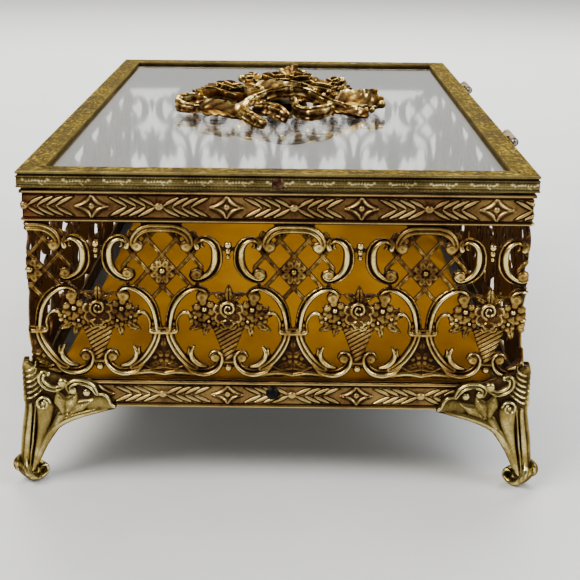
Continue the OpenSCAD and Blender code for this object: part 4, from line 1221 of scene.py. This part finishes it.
# %% Swept straps and the toe
def strap(path, across, widths, thicks, around=14, rough=0.0, ribs=0, seed=1):
    """A closed strap along path. across is one direction, or one for each point.
    Returns points, faces and wear. rough and ribs give it a barky, ridged surface."""
    path = np.asarray(path, float)
    n = len(path)
    along = np.gradient(path, axis=0)
    along /= np.linalg.norm(along, axis=1)[:, None]
    wide = np.broadcast_to(np.asarray(across, float), (n, 3)).copy()
    wide -= along * (wide * along).sum(1)[:, None]
    wide /= np.linalg.norm(wide, axis=1)[:, None]
    up = np.cross(wide, along)
    place = np.linspace(0, 1, n)
    w = np.interp(place, np.linspace(0, 1, len(widths)), widths)
    t = np.interp(place, np.linspace(0, 1, len(thicks)), thicks)
    angle = np.linspace(0, 2 * np.pi, around, endpoint=False)
    ca, sa = np.cos(angle), np.sin(angle)
    run = np.concatenate([[0], np.cumsum(np.linalg.norm(np.diff(path, axis=0), axis=1))])
    crease = np.zeros((n, around))
    if ribs:
        drift = value_noise(run[:, None] / 2.4, 1.5 * ca[None, :] + 0 * run[:, None], seed)
        crease = np.cos(np.pi * ribs * ca[None, :] + 4.0 * drift)
        crease = crease * np.abs(sa)[None, :] ** 0.5
    grain = value_noise(run[:, None] / 0.7, 5 * angle[None, :] / np.pi + 0 * run[:, None], seed + 7) - 0.5
    swell = 1 + rough * (crease + 0.8 * grain)
    cross_w = np.sign(ca) * np.abs(ca) ** 0.8
    cross_t = np.sign(sa) * np.abs(sa) ** 0.8
    points = (path[:, None] + wide[:, None] * (w[:, None] * cross_w)[..., None]
              + up[:, None] * (t[:, None] * cross_t * swell)[..., None]).reshape(-1, 3)
    number = np.arange(n * around).reshape(n, around)
    a, b = number[:-1], number[1:]
    quads = np.stack([a, np.roll(a, -1, 1), np.roll(b, -1, 1), b], -1).reshape(-1, 4)
    faces = quads.tolist() + [number[0].tolist()[::-1], number[-1].tolist()]
    wear = 0.45 + 0.3 * crease * (rough > 0) + 1.1 * grain + 0.35 * (np.abs(ca) ** 4)[None, :]
    return points, faces, np.clip(wear, 0, 1).ravel()


def oriented(name, parts, metal, sharp=45):
    """One object from several closed parts, with every face turned outwards."""
    points, faces, wear, start = [], [], [], 0
    for p, f, w in parts:
        points.append(p)
        wear.append(w)
        faces += [[start + i for i in face] for face in f]
        start += len(p)
    piece = mesh_piece(name, np.vstack(points), faces, np.concatenate(wear))
    work = bmesh.new()
    work.from_mesh(piece.data)
    bmesh.ops.recalc_face_normals(work, faces=work.faces)
    work.to_mesh(piece.data)
    work.free()
    piece.data.set_sharp_from_angle(angle=math.radians(sharp))
    piece.data.materials.append(metal)
    return piece


def toe_parts(flip_x, flip_y):
    """The rolled toe and the two lobes of the heel, placed at one corner."""
    def at_corner(line):
        """(out, side, z) in the corner's own diagonal frame, as placed points."""
        out, side, z = (np.asarray(line, float)[:, i] for i in range(3))
        x, y = (out - side) / math.sqrt(2), (out + side) / math.sqrt(2)
        return np.stack([flip_x * (HALF_X + x), flip_y * (HALF_Y + y), z], 1)

    def direction(v):
        x, y = (v[0] - v[1]) / math.sqrt(2), (v[0] + v[1]) / math.sqrt(2)
        return (flip_x * x, flip_y * y, v[2])

    curl = spline([(2.7, 0, 5.2), (2.6, 0, 3.4), (1.5, 0, 1.55), (-0.2, 0, 0.8), (-1.9, 0, 1.05),
                   (-2.9, 0, 1.9), (-2.7, 0, 3.0), (-1.7, 0, 3.2), (-1.3, 0, 2.5)], 5)
    parts = [strap(at_corner(curl), direction((0, 1, 0)), [2.1, 2.5, 2.6, 2.3, 2.1, 1.9, 1.5, 0.8],
                   [0.8, 0.95, 0.9, 0.7, 0.65, 0.6, 0.5, 0.3], 18)]
    for side in (-1, 1):
        lobe = spline([(2.6, 1.2 * side, 6.6), (3.3, 1.7 * side, 5.0), (3.1, 2.0 * side, 3.4),
                       (1.5, 1.8 * side, 1.6)], 6)
        parts.append(strap(at_corner(lobe), direction((0.35, 1, 0)), [0.3, 1.0, 1.2, 0.35],
                           [0.3, 0.7, 0.8, 0.3], 14))
    return parts


def foot(name, flip_x, flip_y):
    points, faces, wear = foot_flat
    if flip_x * flip_y < 0:
        faces = faces[:, ::-1]
    gusset_z = BASE_Z - GUSSET_T
    corner = [(0.2, 0.2), (0.2, -GUSSET_W), (-GUSSET_W, 0.2)]
    plate = [(flip_x * (HALF_X + x), flip_y * (HALF_Y + y), gusset_z + h)
             for h in (0, GUSSET_T) for x, y in corner]
    plate_faces = [[0, 1, 2], [5, 4, 3], [0, 3, 4, 1], [1, 4, 5, 2], [2, 5, 3, 0]]
    parts = [(bent(points, flip_x, flip_y), faces.tolist(), wear)] + toe_parts(flip_x, flip_y)
    parts.append((np.array(plate), plate_faces, np.full(6, 0.3)))
    return oriented(name, parts, gilt_feet, 50)


GUSSET_W, GUSSET_T = 12.0, 0.6    # the plate in the corner, for the screw
CORNERS = {"front_left": (-1, 1), "front_right": (-1, -1), "back_left": (1, 1), "back_right": (1, -1)}
feet = {corner: foot("scrolled_foot_" + corner, *flips) for corner, flips in CORNERS.items()}
print("feet:", [len(f.data.polygons) for f in feet.values()], "faces")

# %% [markdown]
# ## The spray on the lid
#
# The spray is cast: roses with cupped petals, notched leaves with sunk veins, berries, and a
# barky stem ribbon that loops and forks towards the opening side. A casting is built from
# closed solids that run into each other. A leaf or petal is a small grid bent to shape and given
# a thickness, and a ribbon is a swept strap with ribs.

# %% Leaf, petal, rose and berry
def thick_sheet(grid, thickness, wear):
    """A closed solid from a grid of points (rows, columns, 3). The edge is thinned."""
    rows, cols = grid.shape[:2]
    normal = np.cross(np.gradient(grid, axis=0), np.gradient(grid, axis=1))
    normal /= np.maximum(np.linalg.norm(normal, axis=2, keepdims=True), 1e-9)
    r, c = np.linspace(-1, 1, rows)[:, None], np.linspace(-1, 1, cols)[None, :]
    thin = 1 - 0.6 * np.maximum(np.abs(r), np.abs(c)) ** 6
    under = grid - normal * (thickness * thin)[..., None]
    points = np.vstack([grid.reshape(-1, 3), under.reshape(-1, 3)])
    number = np.arange(rows * cols).reshape(rows, cols)
    a, b, d, e = number[:-1, :-1], number[1:, :-1], number[1:, 1:], number[:-1, 1:]
    top = np.stack([a, b, d, e], -1).reshape(-1, 4)
    low = top[:, ::-1] + rows * cols
    ring = np.concatenate([number[:, 0], number[-1, 1:], number[-2::-1, -1], number[0, -2:0:-1]])
    nxt = np.roll(ring, -1)
    side = np.stack([nxt, ring, ring + rows * cols, nxt + rows * cols], -1)
    faces = np.vstack([top, low, side])
    wear_and_shade_level = np.clip(wear, 0, 1)
    return points, faces.tolist(), np.concatenate([wear_and_shade_level.ravel(), 0.3 * wear_and_shade_level.ravel()])


def placed(points, at, heading, tilt=0.0, roll=0.0):
    """Turns points made along +X by roll, tilt and heading, in degrees, and moves them to at."""
    turn = (Matrix.Rotation(math.radians(heading), 3, "Z") @ Matrix.Rotation(math.radians(-tilt), 3, "Y")
            @ Matrix.Rotation(math.radians(roll), 3, "X"))
    return points @ np.array(turn).T + np.array(at)


def cast_leaf(at, heading, length, width, tilt=5.0, roll=0.0, droop=0.18, notch=0.09, veins=5):
    u, v = np.linspace(0.02, 1, 26)[:, None], np.linspace(-1, 1, 13)[None, :]
    half = 0.5 * width * np.sin(np.pi * u ** 0.82) ** 0.75 * (1 + notch * np.cos(2 * np.pi * veins * 1.3 * u))
    x = length * (u + 0.05 * np.abs(v) * np.sin(np.pi * u)) + 0 * v
    y = half * v
    vein = np.abs(np.sin(np.pi * veins * (u - 0.22 * np.abs(v)))) ** 0.7
    midrib = np.exp(-(v / 0.12) ** 2)
    z = 0.14 * width * np.abs(v) ** 1.5 - droop * length * u ** 2 + 0.30 * vein - 0.35 * midrib
    z = z + 0.10 * width * np.sin(2 * np.pi * (u + 0.2 * v))
    wear_and_shade_level = 0.2 + 0.45 * vein - 0.25 * midrib + 0.3 * np.abs(v) ** 4
    points, faces, wear = thick_sheet(np.stack([x, y, z], -1), 0.9, wear_and_shade_level)
    return placed(points, at, heading, tilt, roll), faces, wear


def petal(radius, height, heading, open_by, wide=62):
    s, t = np.linspace(0, 1, 8)[:, None], np.linspace(-1, 1, 9)[None, :]
    rim = 1 - 0.16 * np.abs(t) ** 2.5
    angle = np.radians(heading + wide * t * (0.45 + 0.55 * s ** 0.6))
    r = radius * (0.3 + 0.7 * s ** 0.75) * (1 + open_by * s ** 3)
    z = height * (s ** 1.25) * rim - 0.28 * height * open_by * s ** 4
    grid = np.stack([r * np.cos(angle), r * np.sin(angle), z + 0 * t], -1)
    return thick_sheet(grid[::-1], 0.55, 0.25 + 0.7 * s[::-1] ** 2 + 0 * t)


def cast_rose(at, radius, height, heading=0.0, lean=0.0):
    """Three rows of petals, the inner ones taller and tighter, round a bud."""
    parts = []
    for row, (share, tall, count, open_by) in enumerate(
            ((1.0, 0.72, 5, 0.22), (0.72, 0.9, 4, 0.12), (0.44, 1.0, 3, 0.05))):
        for i in range(count):
            points, faces, wear = petal(radius * share, height * tall,
                                        heading + 360 * i / count + 37 * row, open_by, 250 / count)
            parts.append((placed(points, at, heading, lean), faces, wear))
    bud = berry((0, 0, 0.62 * height), 0.24 * radius, 0.9)
    parts.append((placed(bud[0], at, heading, lean), bud[1], bud[2]))
    return parts


def berry(at, radius, squash=1.0):
    n, m = 10, 7
    points = [(0, 0, -squash * radius)]
    for j in range(1, m):
        turn = math.pi * j / m - math.pi / 2
        for i in range(n):
            a = 2 * math.pi * i / n
            points.append((radius * math.cos(turn) * math.cos(a), radius * math.cos(turn) * math.sin(a),
                           squash * radius * math.sin(turn)))
    points.append((0, 0, squash * radius))
    faces = [[0, 1 + (i + 1) % n, 1 + i] for i in range(n)]
    for j in range(m - 2):
        for i in range(n):
            a, b = 1 + j * n + i, 1 + j * n + (i + 1) % n
            faces.append([a, b, b + n, a + n])
    last = len(points) - 1
    faces += [[last, last - n + i, last - n + (i + 1) % n] for i in range(n)]
    points = np.array(points)
    # Paler towards the top and darker towards the bottom: the top is rubbed, and the lower half is painted
    # shade.
    return points + np.array(at), faces, np.clip(0.55 + 0.45 * points[:, 2] / radius, 0, 1)

# %% The spray laid out
def ribbon(line, across, widths, thick, seed, ribs=8):
    return strap(spline(line, 12), across, widths, thick, 32, 0.36, ribs, seed)


def spray_parts(top):
    """Every piece of the casting. top is the height of the glass."""
    def up(line, lift=0.0):
        return [(x, y, top + z + lift) for x, y, z in line]

    parts = []
    # the stem ribbon: two forked tails, the arch over the middle and the loops at both sides
    parts.append(ribbon(up([(-4.4, -34.6, 1.1), (-7.4, -30.0, 1.6), (-10.3, -24.0, 2.6), (-9.6, -18.5, 4.0),
                            (-5.5, -15.0, 5.3), (0.5, -13.6, 6.6), (6.0, -13.4, 6.2), (11.0, -14.2, 4.4),
                            (16.5, -14.4, 2.6), (20.0, -12.0, 1.8)]),
                        (0.25, 0.35, 1), [1.5, 1.8, 1.6, 1.4, 1.5, 1.8, 1.8, 1.6, 1.5, 1.0],
                        [0.75, 0.8, 0.8, 0.9, 1.0, 1.0, 0.9, 0.8, 0.6], 3))
    parts.append(ribbon(up([(1.6, -27.2, 1.5), (-0.6, -25.0, 2.8), (-3.6, -22.4, 3.2), (-6.4, -20.0, 2.8),
                            (-6.9, -16.4, 3.4), (-4.0, -14.0, 4.4)]),
                        (0.3, 0.2, 1), [1.5, 2.0, 2.0, 1.7, 1.5, 1.2], [0.7, 0.9, 0.9, 0.8, 0.7], 4))
    parts.append(ribbon(up([(3.4, -14.0, 4.6), (4.4, -18.6, 2.2), (7.6, -21.6, 1.9), (11.4, -20.8, 2.4),
                            (13.6, -17.4, 2.9), (11.8, -14.6, 3.3), (8.8, -15.0, 3.4)]),
                        (0.1, 0.1, 1), [1.5, 1.9, 2.0, 1.9, 1.6, 1.3, 0.8], [0.8, 0.85, 0.8, 0.7, 0.5], 5))
    parts.append(ribbon(up([(-13.0, -8.0, 2.2), (-18.5, -7.2, 2.9), (-23.5, -6.2, 3.2), (-28.2, -7.0, 3.0),
                            (-29.2, -10.6, 2.3), (-26.6, -13.4, 1.9), (-22.0, -13.8, 1.6)]),
                        (0, 0.2, 1), [1.0, 1.4, 1.7, 1.9, 1.9, 1.5, 1.0], [0.6, 0.7, 0.7, 0.6], 6))
    # leaves: (x, y, z, heading, length, width, tilt, roll)
    for x, y, z, heading, length, width, tilt, roll in (
            (-22.6, -17.0, 1.6, -8, 14.5, 7.6, 3, 28), (15.0, -10.0, 2.2, 8, 14.0, 8.4, 10, 26),
            (17.0, -3.5, 2.2, 28, 12.5, 7.4, 14, 18), (12.0, -15.5, 1.6, -6, 12.0, 6.2, 4, 20),
            (-8.0, -9.0, 5.6, 16, 17.5, 7.2, 6, 30), (1.0, 3.5, 7.2, 70, 11.0, 7.2, 18, 12),
            (-4.0, 4.0, 4.4, 110, 13.5, 7.0, 8, -8), (8.0, 5.0, 4.0, 48, 14.0, 7.6, 8, -10),
            (-15.0, 2.0, 2.6, 150, 13.0, 7.2, 8, -10), (-12.0, -3.0, 2.2, 190, 13.5, 7.0, 4, 12),
            (2.0, -9.0, 3.2, -12, 13.0, 6.8, 12, 22), (14.0, 4.0, 2.4, 55, 11.0, 6.4, 14, 0)):
        parts.append(cast_leaf((x, y, top + z), heading, length, width, tilt, roll))
    # roses and half-open buds
    for x, y, z, radius, height, heading, lean in (
            (-15.4, -3.2, 1.6, 5.6, 6.4, 10, -10), (-8.2, -6.6, 2.0, 4.6, 6.0, 50, -18),
            (-2.5, 1.5, 2.6, 5.6, 7.4, 0, -8), (10.6, -4.4, 2.2, 5.2, 6.6, 30, -14),
            (5.2, 3.6, 3.6, 4.4, 6.4, 80, 0), (-8.6, 6.6, 4.4, 3.0, 4.8, 20, 6),
            (15.2, 2.8, 3.8, 3.2, 4.8, 60, 10), (-20.6, -5.4, 2.4, 3.6, 4.6, 75, -14)):
        parts += cast_rose((x, y, top + z), radius, height, heading, lean)
    # berries along the leaves' edges
    for x, y, z, r in ((28.3, -8.8, 2.6, 1.15), (25.3, -11.6, 1.6, 1.0), (21.2, -13.8, 1.6, 1.15),
                       (23.6, -12.6, 1.9, 0.8), (-8.6, -18.4, 1.2, 1.0), (-23.4, -2.6, 4.2, 1.0),
                       (13.2, -9.4, 6.0, 1.0), (15.2, -8.6, 5.0, 0.9), (9.4, -9.6, 6.6, 0.8),
                       (-12.0, 8.2, 7.0, 1.1), (17.4, 4.4, 7.2, 1.1), (-5.6, -9.4, 6.4, 0.9)):
        parts.append(berry((x, y, top + z), r))
    # the plate under it all, which the stud is set in
    n, disc_r = 28, 7.6
    turns = np.linspace(0, 2 * np.pi, n, endpoint=False)
    disc = [(disc_r * math.cos(a), disc_r * math.sin(a)) for a in turns]
    plate = np.array([(x, y, top + 0.02) for x, y in disc] + [(0.9 * x, 0.9 * y, top + 2.2) for x, y in disc])
    sides = [[i, (i + 1) % n, n + (i + 1) % n, n + i] for i in range(n)]
    ends = [list(range(n - 1, -1, -1)), list(range(n, 2 * n))]
    parts.append((plate, sides + ends, np.full(2 * n, 0.1)))
    return parts


spray = oriented("cast_rose_spray", spray_parts(GLASS_TOP), aged_spray, 55)
cast = np.array([v.co for v in spray.data.vertices]) / MM
print("spray:", len(spray.data.polygons), "faces, from", cast.min(0).round(1), "to", cast.max(0).round(1))

# %% [markdown]
# ## The velvet pad
#
# The lining is a thin padded board covered in amber velvet. The CAD's plain slab is replaced by a
# cloth simulation: a slightly smaller slab is remeshed into even cells and blown up from inside.
# It swells far more than there is room for, so each point keeps its direction and its movement
# is cut back to a cap. The weave is far too fine to show; what shows is the pile, so the finish
# has a sheen and soft brushed clouds.

# %% Amber velvet
velvet, tree, shader = new_material("amber_cotton_velvet")
brushed = noise(tree, 16.0, 5.0, (1, 0.6, 1))
fuzz = noise(tree, 0.6, 2.0)
tree.links.new(ramp(tree, brushed, [(0.28, "#7c4e00"), (0.5, "#8f5e00"), (0.74, "#a06e02")]),
               shader.inputs["Base Color"])
shader.inputs["Roughness"].default_value = 0.95
shader.inputs["Specular IOR Level"].default_value = 0.03
shader.inputs["Sheen Weight"].default_value = 0.12
shader.inputs["Sheen Roughness"].default_value = 0.4
shader.inputs["Sheen Tint"].default_value = hex_linear("#c98800")
tree.links.new(bump(tree, fuzz, 0.5, 0.25, bump(tree, brushed, 0.25, 0.6)), shader.inputs["Normal"])

# %% Blowing up the pad
def pad_slab(name, low, high, corner, side, top):
    """A slab with rounded upright corners, smaller than its space by side and top."""
    work = bmesh.new()
    bmesh.ops.create_cube(work, size=1)
    low, high = low + (side, side, 0.2), high - (side, side, top)
    for vert in work.verts:
        vert.co = [(low[i] + (vert.co[i] + 0.5) * (high[i] - low[i])) * MM for i in range(3)]
    upright = [e for e in work.edges if abs(e.verts[0].co.z - e.verts[1].co.z) > 0.001]
    bmesh.ops.bevel(work, geom=upright, offset=corner * MM, segments=5, affect="EDGES", profile=0.5)
    mesh = bpy.data.meshes.new(name)
    work.to_mesh(mesh)
    work.free()
    made = bpy.data.objects.new(name, mesh)
    bpy.context.scene.collection.objects.link(made)
    return made


pad_low, pad_high = box_mm("floor_pad")
PAD_CELL = 0.0034     # size of the cloth's cells, m
PAD_CAP = 0.0016      # furthest that a point may move, m
LAST_FRAME = 20       # the cloth is run for this many frames
pad_source = pad_slab("velvet_pad", pad_low, pad_high, corner=3.0, side=0.8, top=1.6)
even = pad_source.modifiers.new("even", "REMESH")
even.mode = "VOXEL"
even.voxel_size = PAD_CELL
pad = baked(pad_source)
start = np.array([v.co for v in pad.data.vertices])
cloth = pad.modifiers.new("swell", "CLOTH")
cloth.settings.use_pressure = True
cloth.settings.uniform_pressure_force = 4.0
cloth.settings.effector_weights.gravity = 0
cloth.settings.quality = 6
cloth.point_cache.frame_start, cloth.point_cache.frame_end = 1, LAST_FRAME
for frame_number in range(1, LAST_FRAME + 1):
    bpy.context.scene.frame_set(frame_number)
baked(pad)
bpy.context.scene.frame_set(1)
end = np.array([v.co for v in pad.data.vertices])
move = end - start
far = np.linalg.norm(move, axis=1, keepdims=True)
end = start + move * np.minimum(1, PAD_CAP / np.maximum(far, 1e-9))
room_low, room_high = pad_low * MM + 0.0001, pad_high * MM - 0.0001
end = np.clip(end, room_low, room_high)
pad.data.vertices.foreach_set("co", end.ravel())
pad.data.polygons.foreach_set("use_smooth", [True] * len(pad.data.polygons))
soften = pad.modifiers.new("soften", "SUBSURF")
soften.levels = soften.render_levels = 1
baked(pad)
pad.data.materials.clear()
pad.data.materials.append(velvet)
print("pad:", len(pad.data.polygons), "faces, moved at most", round(float(far.max()) / MM, 2), "mm")

# %% [markdown]
# ## The glass
#
# The lid's pane is plain float glass, 2 mm thick, so it stays the CAD's own solid. From the
# camera's low angle it mirrors the surroundings and washes what is below it with grey. Lamps
# would find the inside dark behind real glass, because a path tracer can't aim through it, so
# for the rays that carry lamplight the pane is see-through.

# %% Float glass
glass, tree, shader = new_material("clear_float_glass")
shader.inputs["Base Color"].default_value = hex_linear("#f1f2f0")
shader.inputs["Roughness"].default_value = 0.03
shader.inputs["IOR"].default_value = 1.52
shader.inputs["Transmission Weight"].default_value = 1.0
smudge = noise(tree, 30.0, 4.0)
tree.links.new(bump(tree, smudge, 0.012, 0.2), shader.inputs["Normal"])
open_pane = add(tree, "ShaderNodeBsdfTransparent", {"Color": hex_linear("#e4e6e4")})
ray = add(tree, "ShaderNodeLightPath")
either = add(tree, "ShaderNodeMath", {0: ray.outputs["Is Shadow Ray"], 1: ray.outputs["Is Diffuse Ray"]},
             operation="MAXIMUM")
mixed = add(tree, "ShaderNodeMixShader", {0: either.outputs[0], 1: shader.outputs[0],
                                          2: open_pane.outputs[0]})
tree.links.new(mixed.outputs[0], tree.nodes["Material Output"].inputs["Surface"])
print("glass ready")

# %% [markdown]
# ## Everything in its place
#
# Parts that the CAD already shows well keep their meshes and only get a finish. The others are
# hidden behind the pieces made above. Each new piece rides on the body of the part it replaces,
# so the lid's rails and spray swing with the lid.

# %% Finishes for the parts that stay
FINISH = {
    "floor_plate": floor_tin, "foot_screws": black_screw, "base_band_screws": black_screw,
    "hinge_lower_leaf_left": tarnished, "hinge_lower_leaf_right": tarnished,
    "hinge_pin_left": drawn_wire, "hinge_pin_right": drawn_wire, "hinge_lower_rivets": tarnished,
    "hinge_upper_leaf_left": tarnished, "hinge_upper_leaf_right": tarnished,
    "hinge_upper_rivets": tarnished, "lid_glass": glass, "glass_retainer": dark_inner,
    "lid_band_rivets": rivet_brown, "ornament_stud": drawn_wire, "ornament_washer": washer_brass,
    "ornament_nut": washer_brass,
}
for name, finish in FINISH.items():
    slots = nodes[name].data.materials
    if not len(slots):
        slots.append(finish)
    for i in range(len(slots)):
        slots[i] = finish
print(len(FINISH), "CAD parts finished")

# %% New pieces on their bodies
def install(piece, body, slot, *replaced):
    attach(piece, body)
    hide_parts(*replaced)


for side, piece in zip(SIDES, galleries):
    install(piece, "case", "antique_gilt", "gallery_" + side)
for side, piece in zip(SIDES, rails):
    install(piece, "lid", "matte_gilt_lid", "lid_rail_" + side)
for corner, piece in feet.items():
    install(piece, "case", "antique_gilt_feet", "foot_" + corner)
install(base_band, "case", "antique_gilt_band", "base_band")
install(rim_band, "case", "copper_patina_band", "rim_band")
install(spray, "lid", "aged_gilt_spray", "ornament_spray")
install(pad, "case", "amber_velvet", "floor_pad")
for tool in (gallery_unit, base_unit, rim_unit, gallery_path):
    bpy.data.objects.remove(tool)
